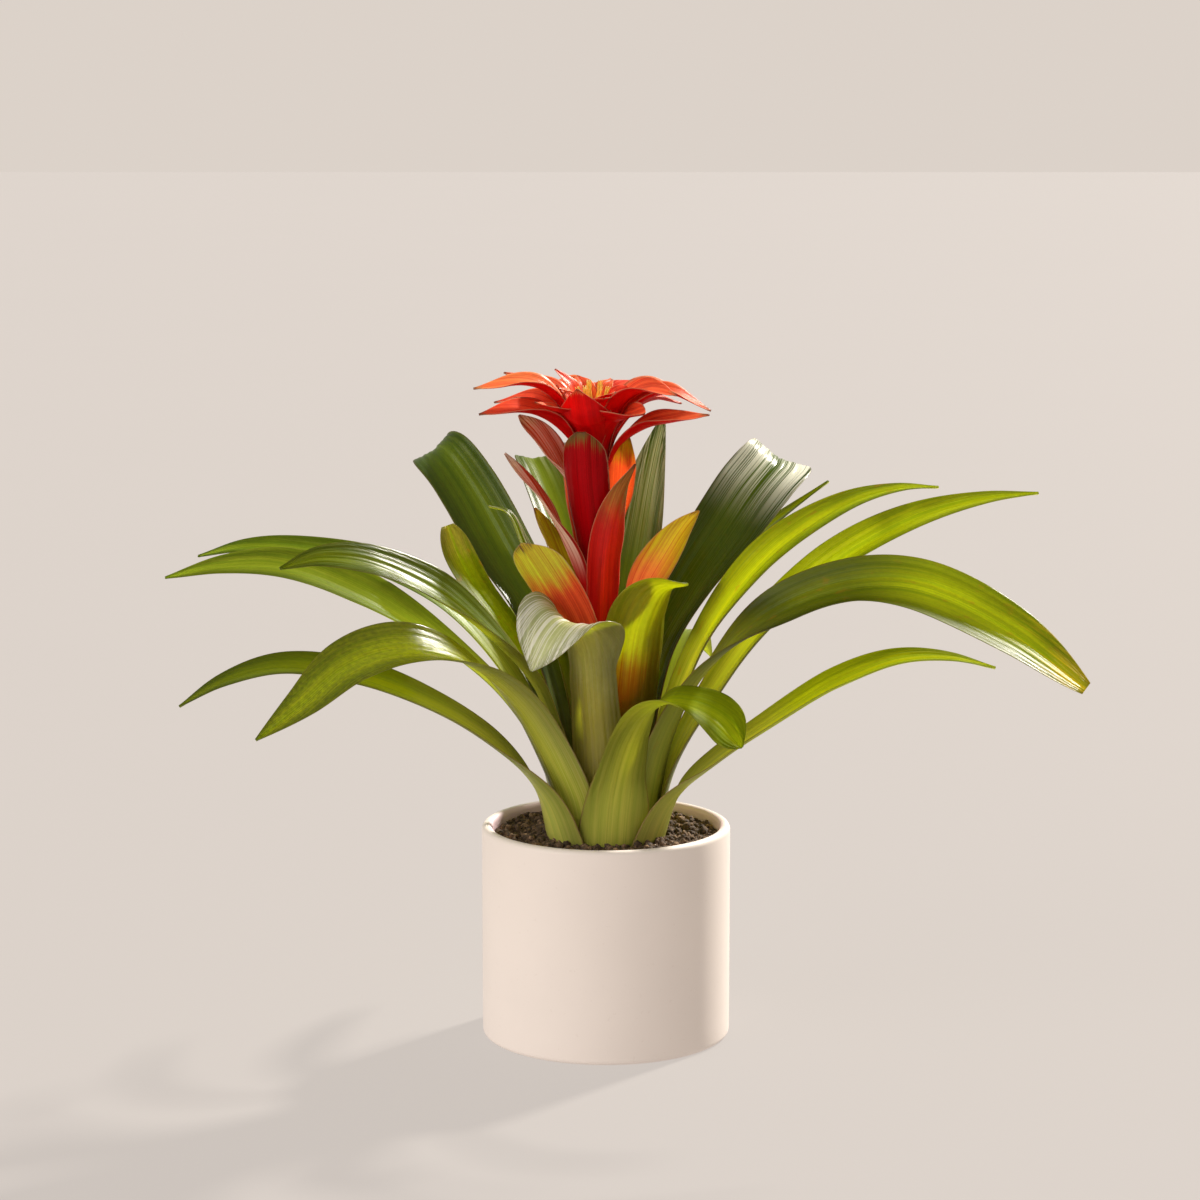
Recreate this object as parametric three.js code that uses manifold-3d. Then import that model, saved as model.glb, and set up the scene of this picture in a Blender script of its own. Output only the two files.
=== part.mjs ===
// Potted guzmania: a rosette of strap leaves round a red bracted flower stalk, in soil, in a plain
// round pot. Millimetres, +Z up. The origin is the middle of the pot's flat bottom.
// Azimuth 0 points along +X, 90 along +Y (the back) and 270 to the front.

import * as THREE from 'three';
import { mergeVertices } from 'three/addons/utils/BufferGeometryUtils.js';
import Module from 'manifold-3d';

const wasm = await Module();
wasm.setup();

// Driving dimensions
const GAP = 0.3;                // left between pieces that touch
const POT_RADIUS = 70;
const POT_HEIGHT = 121;
const POT_WALL = 6;
const POT_FLOOR = 7;
const POT_FOOT_ROUND = 3;
const POT_CORNER = 5;           // inside corner between wall and floor
const POT_SIDES = 56;
const SOIL_TOP = 113;
const SOIL_LUMP = 1.1;          // height of the soil's unevenness
const SOIL_RINGS = 5;
const HOLE_RADIUS = 35;         // planting hole that the crown stands in
const HOLE_EDGE = 4;            // the soil rounds down into the hole
const HOLE_FLOOR = 104;
const CROWN_RADIUS = 31;        // foot of the short conical stem that carries the leaves
const CROWN_FOOT = 107;
const CROWN_TOP = 134;
const STALK_RADIUS = 6;
const STALK_TOP = 318;
const STALK_LEAN = -8 / 257;    // sideways drift in X per millimetre of height
const LEAN_FROM = 114;
const BLADE_THICKNESS = 0.8;
const CURL_PLACES = [0, 0.25, 0.6, 1];   // shares of the length: root, throat, blade and tip
const THROAT_SPREAD = 0.6;      // share of the throat after which the blade widens
const ROOT_SHARE = 0.3;         // share of the length that still faces away from the stem
const ROOT_HOLD = 4;
const FREE_HOLD = 0.25;
const ROOT_GAP = 0.75;          // from a flat-sided root to the round stem at the root's middle
const LEAF_STEPS = 13;
const LEAF_ACROSS = 4;
const BRACT_STEPS = 9;
const PETAL_STEPS = 6;
const HEAD_TOP = 352;
const HEART = 7;                // reach of the star's roots, inside the head
const PETAL_ROLL = 16;          // degrees by which the petals at the sides turn to the front
const PETAL_ROOT = [6, 11];     // widths of a petal at its root and its throat
const PETAL_CURL = [10, 16, 16];
const PETAL_RISE = [[0, 0], [0.2, 0.5], [0.6, 0.88], [1, 1]];   // shares of the way to its crest
const STEM_SIDES = 24;
const HEAD_SIDES = 16;
const FLOWER_SIDES = 12;
const FLORET_SIDES = 6;
const FLORET_FOOT = 1.6;        // radii of a floret
const FLORET_TIP = 1;
const FLORET_FOOT_RISE = 1.5;   // from the top of the head, inside the flowers' base

// Every leaf is a centre line of points [azimuth, reach, height], rooted on the crown, and
//   width: [at the root, at the throat, at the widest place], in millimetres
//   throat, peak: shares of the length where the throat ends and where the blade is widest
//   taper: how late the blade narrows to its tip (more is later)
//   curl: radii of the cross-section [throat, blade, tip]; at the root it wraps round the crown
//   roll: turn of the blade about its own centre line, at even stations, in degrees
const LEAVES = {
  leaf_low_left: {
    path: [[219, 32], [213, 44, 143], [202, 66, 170], [194, 100, 193], [191, 140, 209],
      [190, 182, 216], [190, 214, 209], [190, 238, 196]],
    width: [38, 28, 31], throat: 0.3, curl: [28, 24, 30], roll: [0, -10, -20, -20],
  },
  leaf_front_left: {
    path: [[236, 28.8], [234, 31.5, 130], [231, 37, 148], [225, 66, 196], [221, 98, 224],
      [219, 138, 236], [218, 172, 231], [217, 200, 213], [216, 226, 196]],
    width: [32, 32, 38], throat: 0.3, peak: 0.62, curl: [32, 34, 60], roll: [0, 5, -30, -30],
  },
  leaf_upper_left_back: {
    path: [[179, 25.6], [176, 35.5, 165], [171, 57, 205], [168, 92, 242], [168, 132, 263],
      [169, 178, 272], [170, 210, 273], [170, 236, 267]],
    width: [34, 27, 31], curl: [30, 24, 30], roll: [0, 0, -20, -30],
  },
  leaf_upper_left_mid: {
    path: [[186, 27.2], [185, 37.5, 160], [182, 60, 196], [181, 100, 229], [181, 140, 253],
      [181, 180, 268], [180, 214, 268], [180, 246, 261]],
    width: [36, 30, 35], throat: 0.28, curl: [32, 24, 34], roll: [0, 0, -30, -30],
  },
  leaf_upper_left_front: {
    path: [[208, 24], [206, 27.5, 155], [200, 42, 202], [198, 72, 236], [199, 103, 260],
      [200, 138, 277], [200, 165, 281], [200, 187, 276]],
    width: [28, 26, 38], throat: 0.28, curl: [30, 26, 34], roll: [0, 0, -28, -38],
  },
  leaf_tall_left: {
    path: [[134, 21], [133, 27.5, 172], [132, 44, 213], [129, 66, 237.5], [129.5, 93, 264],
      [130.5, 124, 298], [131, 145, 316], [129, 163, 318], [125, 176, 306]],
    width: [30, 28, 38], peak: 0.7, taper: 4, curl: [30, 28, 60], roll: [0, -6, -30, -35],
  },
  leaf_small_left: {
    path: [[151, 23], [152, 29.8, 163.5], [151.5, 49, 205], [150, 69, 231], [149.5, 87, 250],
      [149.5, 99, 268], [150, 105, 283]],
    width: [20, 15, 21], peak: 0.85, taper: 4, tip: 8, curl: [28, 22, 30],
    roll: [0, -4, -10, -32],
  },
  leaf_back_left: {
    path: [[108, 18.6], [107, 24, 172], [106, 35, 212], [106, 60, 248], [106, 102, 280],
      [106, 142, 303], [106, 160, 310], [103, 175, 304], [99, 187, 290]],
    width: [28, 26, 28], peak: 0.7, curl: [24, 24, 40],
  },
  leaf_back_right: {
    path: [[78, 16.6], [75, 21, 172], [73, 31, 212], [71, 46, 250], [70, 60, 282],
      [69, 70, 308], [68, 77, 326], [67, 83, 340]],
    width: [28, 32, 38], peak: 0.55, taper: 2.4, tip: 5, curl: [22, 26, 14],
  },
  leaf_tall_right: {
    path: [[50, 21], [48, 27, 168], [47, 40, 212], [45, 66, 246], [44, 96, 276],
      [44.5, 121, 299], [46, 143, 312], [50, 160, 314], [54, 174, 303]],
    width: [30, 29, 46], peak: 0.7, taper: 4, curl: [30, 30, 60], roll: [0, 6, 26, 26],
  },
  leaf_tall_right_back: {
    path: [[58, 23], [57, 31, 163], [54, 47, 205], [50, 70, 235], [46, 102, 261],
      [41, 136, 284], [37, 163, 303]],
    width: [24, 18, 22], curl: [28, 24, 30],
  },
  leaf_long_right_high: {
    path: [[24, 25.2], [21, 35.5, 162], [18, 52, 210], [15, 71, 242], [13, 103, 276],
      [12, 140, 299], [12, 170, 307], [12, 193, 307]],
    width: [26, 29, 34], throat: 0.25, curl: [34, 24, 40], roll: [0, 2, 20, 12],
  },
  leaf_long_right_mid: {
    path: [[2, 28.4], [3, 39, 154], [4, 58, 190], [5, 88, 231], [5, 128, 266],
      [5, 172, 291], [5, 214, 303], [5, 244, 306]],
    width: [36, 30, 34], throat: 0.28, curl: [32, 22, 40], roll: [0, 12, 24, 20],
  },
  leaf_long_right_droop: {
    path: [[-38, 27.2], [-32, 37.5, 168], [-24, 57, 208], [-20, 90, 240], [-17, 134, 260],
      [-16, 174, 262], [-15, 226, 240], [-15, 268, 211]],
    width: [30, 30, 38], throat: 0.28, taper: 5, tip: 11, curl: [34, 24, 60],
    roll: [0, -6, 34, 44, 30],
  },
  leaf_low_right: {
    path: [[-34, 31.6], [-28, 44, 139], [-15, 64, 160], [-8, 96, 182], [-5, 130, 203],
      [-4, 162, 216], [-4, 192, 218], [-4, 217, 213]],
    width: [38, 28, 30], throat: 0.3, curl: [28, 22, 26], roll: [0, 5, 12, 10],
  },
  leaf_front_curl: {
    path: [[-82, 30.4], [-80, 37.5, 140], [-76, 42, 162], [-71, 47.5, 180], [-65, 54, 194],
      [-58, 63, 201], [-50, 74, 199], [-44, 86, 191], [-39.5, 96, 177]],
    width: [44, 25, 36], throat: 0.5, peak: 0.75, taper: 4, curl: [36, 26, 60],
    roll: [0, -10, 4, 38],
  },
  leaf_front_fold: {
    path: [[-95, 25.8], [-98, 34.5, 165], [-101, 40, 200], [-103, 46, 229], [-108, 55, 244],
      [-112, 64, 247], [-116, 73, 239], [-120, 81, 221]],
    width: [32, 27, 57], throat: 0.95, peak: 0.74, curl: [30, 34, 60], roll: [0, 0, -10, -16],
  },
  leaf_inner_front_right: {
    path: [[-61, 21], [-60, 26, 170], [-58, 31, 215], [-55, 37, 243], [-49, 47, 260],
      [-42, 60, 264]],
    width: [30, 32, 42], peak: 0.7, taper: 3, curl: [24, 22, 24], roll: [0, -8, -20, -20],
  },
  leaf_inner_left: {
    path: [[165, 14.6], [165, 20, 190], [165, 36, 245], [165, 48, 278], [165, 57, 296],
      [165, 68, 299]],
    width: [26, 24, 22], peak: 0.5, curl: [18, 18, 14], roll: [0, -10, -10, 0],
  },
  leaf_rear_left: {
    path: [[126, 28.6], [122, 43, 150], [118, 66, 182], [115, 100, 210], [113, 138, 221],
      [112, 170, 216], [112, 196, 199]],
    width: [34, 31, 36], throat: 0.28, curl: [32, 26, 40], roll: [0, -6, -10, -6],
  },
  leaf_rear_right: {
    path: [[56, 29.8], [59, 42, 146], [64, 66, 176], [69, 99, 200], [71, 134, 209],
      [71, 165, 203], [70, 190, 184]],
    width: [36, 30, 35], throat: 0.28, curl: [32, 26, 40], roll: [0, 6, 10, 6],
  },
  leaf_rear_mid: {
    path: [[92, 31.2], [92, 46, 140], [92, 69, 162], [93, 104, 178], [93, 140, 182],
      [93, 172, 172], [93, 198, 150]],
    width: [38, 28, 33], throat: 0.28, curl: [32, 26, 40],
  },
};

// The bracts up the stalk, in the same form, but rooted on the stalk: [azimuth, reach, height]
const BRACTS = {
  bract_low_left: {
    path: [[-126, 7, 190], [-126, 13, 215], [-126, 28, 242], [-126, 44, 262], [-127, 56, 277],
      [-128, 65, 288]],
    width: [16, 26, 31], peak: 0.7, taper: 4.5, curl: [12, 26, 34], roll: [0, 6, 22, 22],
  },
  bract_low_right: {
    path: [[-18, 7, 198], [-15, 14, 226], [-12, 26, 252], [-11, 40, 275], [-10, 49, 289],
      [-10, 58, 300]],
    width: [10, 20, 30], peak: 0.55, taper: 2.6, curl: [15, 16, 20], roll: [0, 12, 55, 45],
  },
  bract_low_back: {
    path: [[104, 7, 205], [98, 11.5, 235], [90, 24, 268], [84, 40, 292], [84, 52, 303]],
    width: [14, 22, 26], peak: 0.5, curl: [12, 14, 14],
  },
  bract_back_left: {
    path: [[178, 7, 219], [178, 12.5, 246], [178, 21, 270], [178, 28, 288], [178, 34, 300]],
    width: [16, 18, 20], peak: 0.5, curl: [10, 12, 12], roll: [0, -8, -32, -45],
  },
  bract_mid_right: {
    path: [[-72, 7, 227], [-73, 12, 252], [-72, 16.5, 274], [-66, 22, 296], [-58, 28, 314],
      [-50, 35, 328]],
    width: [18, 21, 22], peak: 0.45, curl: [11, 13, 13], roll: [0, 0, -15, -10],
  },
  bract_mid_left: {
    path: [[204, 7, 236], [206, 12.5, 264], [209, 24, 290], [210, 37, 311], [210, 46, 322],
      [210, 56, 334]],
    width: [13, 18, 18], peak: 0.4, curl: [11, 10, 9], roll: [0, 0, -35, -70],
  },
  bract_back: {
    path: [[112, 7, 245], [112, 12, 270], [112, 22, 300], [112, 34, 322], [112, 44, 332]],
    width: [13, 21, 24], peak: 0.5, curl: [12, 14, 14],
  },
  bract_right: {
    path: [[4, 7, 254], [6, 11, 276], [9, 14, 298], [12, 16.5, 318], [14, 18, 332],
      [14, 19.5, 341]],
    width: [12, 18, 23], peak: 0.5, taper: 3, curl: [11, 13, 14], roll: [0, 8, 40, 45],
  },
  bract_front: {
    path: [[-104, 7, 264], [-106, 12, 282], [-107, 17.5, 300], [-108, 20.5, 316],
      [-108, 21.5, 331], [-108, 21.5, 345]],
    width: [15, 22, 30], peak: 0.6, taper: 5, tip: 5, curl: [12, 18, 20],
  },
  bract_upper_back: {
    path: [[110, 7, 284], [109, 12, 304], [105, 20, 323], [101, 29, 338], [98, 38, 347]],
    width: [12, 14, 23], peak: 0.5, curl: [10, 13, 14],
  },
  bract_upper_left: {
    path: [[176, 7, 293], [177, 12, 309], [178, 21, 325], [179, 31, 341], [180, 41, 352]],
    width: [11, 13, 22], peak: 0.62, curl: [10, 12, 12], roll: [0, -3, -35, -50],
  },
};

// The star of bracts at the top: [azimuth, root height, crest reach, crest height, tip reach,
// tip height, width]. The first whorl is the lowest and longest.
const STAR = [
  [200, 322, 42, 356, 66, 355, 28],
  [258, 324, 25, 350, 37, 370, 36],
  [306, 328, 28, 353, 48, 357, 32],
  [346, 321, 46, 350, 66, 354, 26],
  [5, 326, 42, 364, 66, 354, 25],
  [36, 323, 42, 359, 62, 355, 26],
  [64, 326, 40, 360, 62, 356, 26],
  [92, 322, 42, 357, 64, 354, 26],
  [122, 326, 40, 360, 62, 357, 26],
  [150, 323, 42, 359, 64, 356, 26],
  [190, 332, 38, 370, 66, 368, 25],
  [229, 327, 33, 358, 47, 363, 22],
  [284, 337, 18, 362, 27, 364, 20],
  [338, 330, 32, 367, 50, 365, 30],
  [16, 337, 36, 367, 56, 360, 23],
  [50, 333, 27, 366, 43, 368, 20],
  [86, 337, 28, 367, 46, 365, 22],
  [122, 333, 30, 368, 48, 366, 22],
  [160, 337, 34, 369, 52, 374, 20],
];

// The small bracts round the flowers, in the same form
const CENTRE = [
  [215, 344, 14, 366, 22, 368, 14],
  [310, 344, 13, 364, 20, 366, 14],
  [5, 344, 15, 366, 23, 367, 14],
  [60, 344, 15, 368, 23, 370, 14],
  [112, 344, 14, 369, 22, 372, 14],
  [163, 344, 14, 371, 21, 377, 13],
];

// The head that carries the star, and the flowers' base on it, as rings of [height, radius]
const HEAD = [[STALK_TOP + GAP, STALK_RADIUS], [322, 8.4], [340, 9.3], [HEAD_TOP, 11.5]];
const FLOWER_BASE = [[HEAD_TOP + GAP, 5.5], [355, 5.5], [357, 3.5]];

// The florets inside the star, in two rings
const FLORETS = [
  { count: 3, reach: 1.8, length: 18, splay: 8 },
  { count: 6, reach: 4.2, length: 15, splay: 17 },
];

// Materials
const paint = (colour, roughness) => new THREE.MeshStandardMaterial({
  color: colour, roughness, metalness: 0,
});
const potGlaze = paint('#e9dccf', 0.55);
const darkSoil = paint('#2e241c', 0.95);
const greenLeaf = paint('#5f8a22', 0.4);
const paleStem = paint('#a9b36a', 0.5);
const redBract = paint('#c4261a', 0.4);
const yellowFlower = paint('#e8d46a', 0.5);

// Numbers
const radians = THREE.MathUtils.degToRad;
const smooth = (x) => THREE.MathUtils.smoothstep(x, 0, 1);

function between(places, values, at) {
  let i = 0;
  while (i < places.length - 2 && at > places[i + 1]) i += 1;
  const share = THREE.MathUtils.clamp((at - places[i]) / (places[i + 1] - places[i]), 0, 1);
  return values[i] + (values[i + 1] - values[i]) * share;
}

function stations(values, at) {
  const x = at * (values.length - 1);
  const i = Math.min(Math.floor(x), values.length - 2);
  return values[i] + (values[i + 1] - values[i]) * smooth(x - i);
}

const leanAt = (height) => STALK_LEAN * Math.max(height - LEAN_FROM, 0);

// Closed bodies
function outwardGeometry(points, faces) {
  let volume = 0;
  for (const [a, b, c] of faces) {
    volume += points[a].dot(new THREE.Vector3().crossVectors(points[b], points[c]));
  }
  const turned = volume > 0 ? faces : faces.map(([a, b, c]) => [a, c, b]);
  const geometry = new THREE.BufferGeometry();
  geometry.setAttribute('position', new THREE.Float32BufferAttribute(
    points.flatMap((p) => p.toArray()), 3));
  geometry.setIndex(turned.flat());
  return geometry;
}

function solidOf(geometry) {
  const bare = geometry.clone();
  bare.deleteAttribute('normal');
  bare.deleteAttribute('uv');
  const merged = mergeVertices(bare, 1e-4);
  return new wasm.Manifold(new wasm.Mesh({
    numProp: 3,
    vertProperties: new Float32Array(merged.attributes.position.array),
    triVerts: new Uint32Array(merged.index.array),
  }));
}

function joined(geometries) {
  const whole = geometries.map(solidOf).reduce((sum, next) => sum.add(next));
  const mesh = whole.getMesh();
  const geometry = new THREE.BufferGeometry();
  geometry.setAttribute('position', new THREE.BufferAttribute(mesh.vertProperties, 3));
  geometry.setIndex(new THREE.BufferAttribute(mesh.triVerts, 1));
  return geometry;
}

// A round body along the leaning axis, from rings of [height, radius]
function leaningRound(rings, sides) {
  const points = [];
  const faces = [];
  for (const [height, radius] of rings) {
    for (let k = 0; k < sides; k += 1) {
      const turn = (2 * Math.PI * k) / sides;
      points.push(new THREE.Vector3(
        leanAt(height) + radius * Math.cos(turn), radius * Math.sin(turn), height));
    }
  }
  for (let i = 0; i < rings.length - 1; i += 1) {
    for (let k = 0; k < sides; k += 1) {
      const a = i * sides + k;
      const b = i * sides + ((k + 1) % sides);
      faces.push([a, b, b + sides], [a, b + sides, a + sides]);
    }
  }
  const ends = [rings[0], rings[rings.length - 1]];
  const foot = points.length;
  for (const [height] of ends) points.push(new THREE.Vector3(leanAt(height), 0, height));
  const last = (rings.length - 1) * sides;
  for (let k = 0; k < sides; k += 1) {
    const next = (k + 1) % sides;
    faces.push([foot, next, k], [foot + 1, last + k, last + next]);
  }
  return outwardGeometry(points, faces);
}

// The centre line of a blade, with its azimuth at each step
function centreLine(path, leans, steps) {
  const knots = path.map(([azimuth, reach, height]) => new THREE.Vector3(
    (leans ? leanAt(height) : 0) + reach * Math.cos(radians(azimuth)),
    reach * Math.sin(radians(azimuth)), height));
  const places = [0];
  knots.slice(1).forEach((p, i) => places.push(places[i] + p.distanceTo(knots[i])));
  const points = new THREE.CatmullRomCurve3(knots, false, 'centripetal').getSpacedPoints(steps);
  const azimuths = points.map((_, i) => radians(between(
    places, path.map((p) => p[0]), (i / steps) * places[places.length - 1])));
  return { points, azimuths };
}

// Half the blade's width at a share s of its length
function halfWidth({ width, throat = 0.2, peak = 0.55, taper = 2.2, tip = 1.6 }, s) {
  const [root, neck, blade] = width;
  const early = THROAT_SPREAD * throat;
  if (s < peak) {
    const blend = smooth((s - early) / (peak - early));
    return (neck + (blade - neck) * blend + (root - neck) * (1 - smooth(s / throat))) / 2;
  }
  const x = (s - peak) / (1 - peak);
  return (blade * (1 - x ** taper) + tip * x ** 4) / 2;
}

// A blade: an arched strip of even thickness, with both faces split into triangles alike
function bladeGeometry(spec, path, rootCurl, leans, steps, across) {
  const { points: centre, azimuths } = centreLine(path, leans, steps);
  const curls = [rootCurl, ...spec.curl];
  const roll = spec.roll ?? [0, 0];
  const row = 2 * (across + 1);
  const points = [];
  const faces = [];
  for (let i = 0; i <= steps; i += 1) {
    const s = i / steps;
    const along = centre[Math.min(i + 1, steps)].clone().sub(centre[Math.max(i - 1, 0)]).normalize();
    // The root keeps the direction out from the stem, and the blade follows its own line
    const hold = FREE_HOLD + ROOT_HOLD * (1 - smooth(s / ROOT_SHARE));
    const heading = new THREE.Vector3(along.x + hold * Math.cos(azimuths[i]),
      along.y + hold * Math.sin(azimuths[i]), 0).normalize();
    const side = new THREE.Vector3(-heading.y, heading.x, 0);
    side.addScaledVector(along, -side.dot(along)).normalize();
    const upper = new THREE.Vector3().crossVectors(along, side);
    const turn = radians(stations(roll, s));
    side.applyAxisAngle(along, turn);
    upper.applyAxisAngle(along, turn);
    const radius = between(CURL_PLACES, curls, s);
    for (let j = 0; j <= across; j += 1) {
      const angle = ((2 * j) / across - 1) * (halfWidth(spec, s) / radius);
      const middle = centre[i].clone()
        .addScaledVector(side, radius * Math.sin(angle))
        .addScaledVector(upper, radius * (1 - Math.cos(angle)));
      const out = upper.clone().multiplyScalar(Math.cos(angle)).addScaledVector(side, -Math.sin(angle));
      for (const face of [0.5, -0.5]) {
        points.push(middle.clone().addScaledVector(out, face * BLADE_THICKNESS));
      }
    }
  }
  const at = (i, j, face) => i * row + 2 * j + face;
  for (let i = 0; i < steps; i += 1) {
    for (let j = 0; j < across; j += 1) {
      const [a, b, c, d] = [at(i, j, 0), at(i + 1, j, 0), at(i + 1, j + 1, 0), at(i, j + 1, 0)];
      faces.push([a, b, c], [a, c, d], [a + 1, c + 1, b + 1], [a + 1, d + 1, c + 1]);
    }
    for (const [j, flip] of [[0, false], [across, true]]) {
      const [a, b, c, d] = [at(i, j, 0), at(i, j, 1), at(i + 1, j, 1), at(i + 1, j, 0)];
      faces.push(...(flip ? [[a, d, c], [a, c, b]] : [[a, c, d], [a, b, c]]));
    }
  }
  for (const [i, flip] of [[0, true], [steps, false]]) {
    for (let j = 0; j < across; j += 1) {
      const [a, b, c, d] = [at(i, j, 0), at(i, j, 1), at(i, j + 1, 1), at(i, j + 1, 0)];
      faces.push(...(flip ? [[a, d, c], [a, c, b]] : [[a, c, d], [a, b, c]]));
    }
  }
  return outwardGeometry(points, faces);
}

// The pieces
const group = new THREE.Group();
const crownSlope = (CROWN_RADIUS - STALK_RADIUS) / (CROWN_TOP - CROWN_FOOT);

function place(name, geometry, material) {
  const mesh = new THREE.Mesh(geometry, material);
  mesh.name = name;
  group.add(mesh);
}

function arc(x, y, radius, from, to, count) {
  return Array.from({ length: count + 1 }, (_, i) => {
    const turn = radians(from + ((to - from) * i) / count);
    return new THREE.Vector2(x + radius * Math.cos(turn), y + radius * Math.sin(turn));
  });
}

function pot() {
  const inner = POT_RADIUS - POT_WALL;
  const rim = POT_WALL / 2;
  const profile = [
    new THREE.Vector2(0, 0),
    ...arc(POT_RADIUS - POT_FOOT_ROUND, POT_FOOT_ROUND, POT_FOOT_ROUND, -90, 0, 2),
    ...arc(POT_RADIUS - rim, POT_HEIGHT - rim, rim, 0, 180, 5),
    ...arc(inner - POT_CORNER, POT_FLOOR + POT_CORNER, POT_CORNER, 0, -90, 2),
    new THREE.Vector2(0, POT_FLOOR),
  ];
  return new THREE.LatheGeometry(profile, POT_SIDES).rotateX(Math.PI / 2);
}

function soil() {
  const wall = POT_RADIUS - POT_WALL - GAP;
  const floor = POT_FLOOR + GAP;
  const profile = [
    new THREE.Vector2(0, floor),
    new THREE.Vector2(wall - POT_CORNER, floor),
    new THREE.Vector2(wall, floor + POT_CORNER),
    ...Array.from({ length: SOIL_RINGS + 1 }, (_, i) => new THREE.Vector2(
      wall - (i * (wall - HOLE_RADIUS - HOLE_EDGE)) / SOIL_RINGS, SOIL_TOP)),
    new THREE.Vector2(HOLE_RADIUS, SOIL_TOP - HOLE_EDGE),
    new THREE.Vector2(HOLE_RADIUS, HOLE_FLOOR),
    new THREE.Vector2(0, HOLE_FLOOR),
  ];
  const geometry = new THREE.LatheGeometry(profile, POT_SIDES).rotateX(Math.PI / 2);
  const { position } = geometry.attributes;
  for (let i = 0; i < position.count; i += 1) {
    if (position.getZ(i) < SOIL_TOP - 0.5) continue;
    const x = position.getX(i);
    const y = position.getY(i);
    const lumps = Math.sin(0.31 * x + 1.3) * Math.cos(0.27 * y) + Math.sin(0.83 * x - 0.71 * y);
    position.setZ(i, SOIL_TOP - SOIL_LUMP + 0.5 * SOIL_LUMP * lumps);
  }
  return geometry;
}

function stem() {
  return leaningRound([
    [HOLE_FLOOR + GAP, CROWN_RADIUS],
    [CROWN_FOOT, CROWN_RADIUS],
    [CROWN_TOP, STALK_RADIUS],
    [STALK_TOP, STALK_RADIUS],
  ], STEM_SIDES);
}

// A leaf's root stands on the crown's slope at its own reach
function leaf(spec) {
  const [azimuth, reach] = spec.path[0];
  const inside = reach - BLADE_THICKNESS / 2 - ROOT_GAP;
  const height = CROWN_FOOT + Math.max(CROWN_RADIUS - inside, 0) / crownSlope;
  const path = [[azimuth, reach, height], ...spec.path.slice(1)];
  return bladeGeometry(spec, path, reach, false, LEAF_STEPS, LEAF_ACROSS);
}

function bract(spec) {
  return bladeGeometry(spec, spec.path, spec.path[0][1], true, BRACT_STEPS, LEAF_ACROSS);
}

function petal([azimuth, root, crestReach, crestHeight, tipReach, tipHeight, width], steps, across) {
  const spec = {
    width: [...PETAL_ROOT, width], peak: 0.55, taper: 1.6, tip: 1.2, curl: PETAL_CURL,
    roll: [0, PETAL_ROLL * Math.cos(radians(azimuth))],
  };
  const path = PETAL_RISE.map(([reachShare, heightShare]) => [
    azimuth, HEART + reachShare * (crestReach - HEART), root + heightShare * (crestHeight - root),
  ]);
  path.push([azimuth, tipReach, tipHeight]);
  return bladeGeometry(spec, path, HEART, true, steps, across);
}

function bloom() {
  const outer = STAR.map((row) => petal(row, PETAL_STEPS, 3));
  const inner = CENTRE.map((row) => petal(row, PETAL_STEPS - 2, 2));
  return joined([leaningRound(HEAD, HEAD_SIDES), ...outer, ...inner]);
}

function flowers() {
  const parts = [leaningRound(FLOWER_BASE, FLOWER_SIDES)];
  for (const { count, reach, length, splay } of FLORETS) {
    for (let k = 0; k < count; k += 1) {
      const turn = (2 * Math.PI * k) / count;
      parts.push(new THREE.CylinderGeometry(FLORET_TIP, FLORET_FOOT, length, FLORET_SIDES)
        .rotateX(Math.PI / 2)
        .translate(0, 0, length / 2)
        .rotateY(radians(splay))
        .translate(reach, 0, HEAD_TOP + FLORET_FOOT_RISE)
        .rotateZ(turn)
        .translate(leanAt(HEAD_TOP), 0, 0));
    }
  }
  return joined(parts);
}

place('pot', pot(), potGlaze);
place('soil', soil(), darkSoil);
place('stem', stem(), paleStem);
for (const [name, spec] of Object.entries(LEAVES)) place(name, leaf(spec), greenLeaf);
for (const [name, spec] of Object.entries(BRACTS)) place(name, bract(spec), redBract);
place('bloom', bloom(), redBract);
place('flowers', flowers(), yellowFlower);

export default group;
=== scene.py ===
"""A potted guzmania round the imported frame: finished leaves, bracts, flowers, soil and pot.

Shapes are worked out in millimetres, in the part's own frame: +Z up, the origin in the middle of
the pot's flat bottom, azimuth 0 along +X, 90 to the back and 270 to the front.
"""

import math
import random

import bpy
import bmesh
import numpy as np
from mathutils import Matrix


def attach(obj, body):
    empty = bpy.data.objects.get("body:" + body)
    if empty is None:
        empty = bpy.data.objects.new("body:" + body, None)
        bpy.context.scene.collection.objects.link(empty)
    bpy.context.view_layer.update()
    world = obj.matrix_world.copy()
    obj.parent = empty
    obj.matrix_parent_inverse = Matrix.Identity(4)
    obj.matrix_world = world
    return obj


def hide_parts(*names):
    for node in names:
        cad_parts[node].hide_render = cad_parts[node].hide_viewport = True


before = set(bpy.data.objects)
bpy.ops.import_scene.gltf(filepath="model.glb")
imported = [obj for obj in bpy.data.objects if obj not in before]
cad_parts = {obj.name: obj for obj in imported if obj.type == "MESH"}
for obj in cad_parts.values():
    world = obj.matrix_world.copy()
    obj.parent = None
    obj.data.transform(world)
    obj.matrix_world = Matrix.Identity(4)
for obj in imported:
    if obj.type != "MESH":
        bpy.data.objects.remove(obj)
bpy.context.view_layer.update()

MM = 0.001

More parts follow.
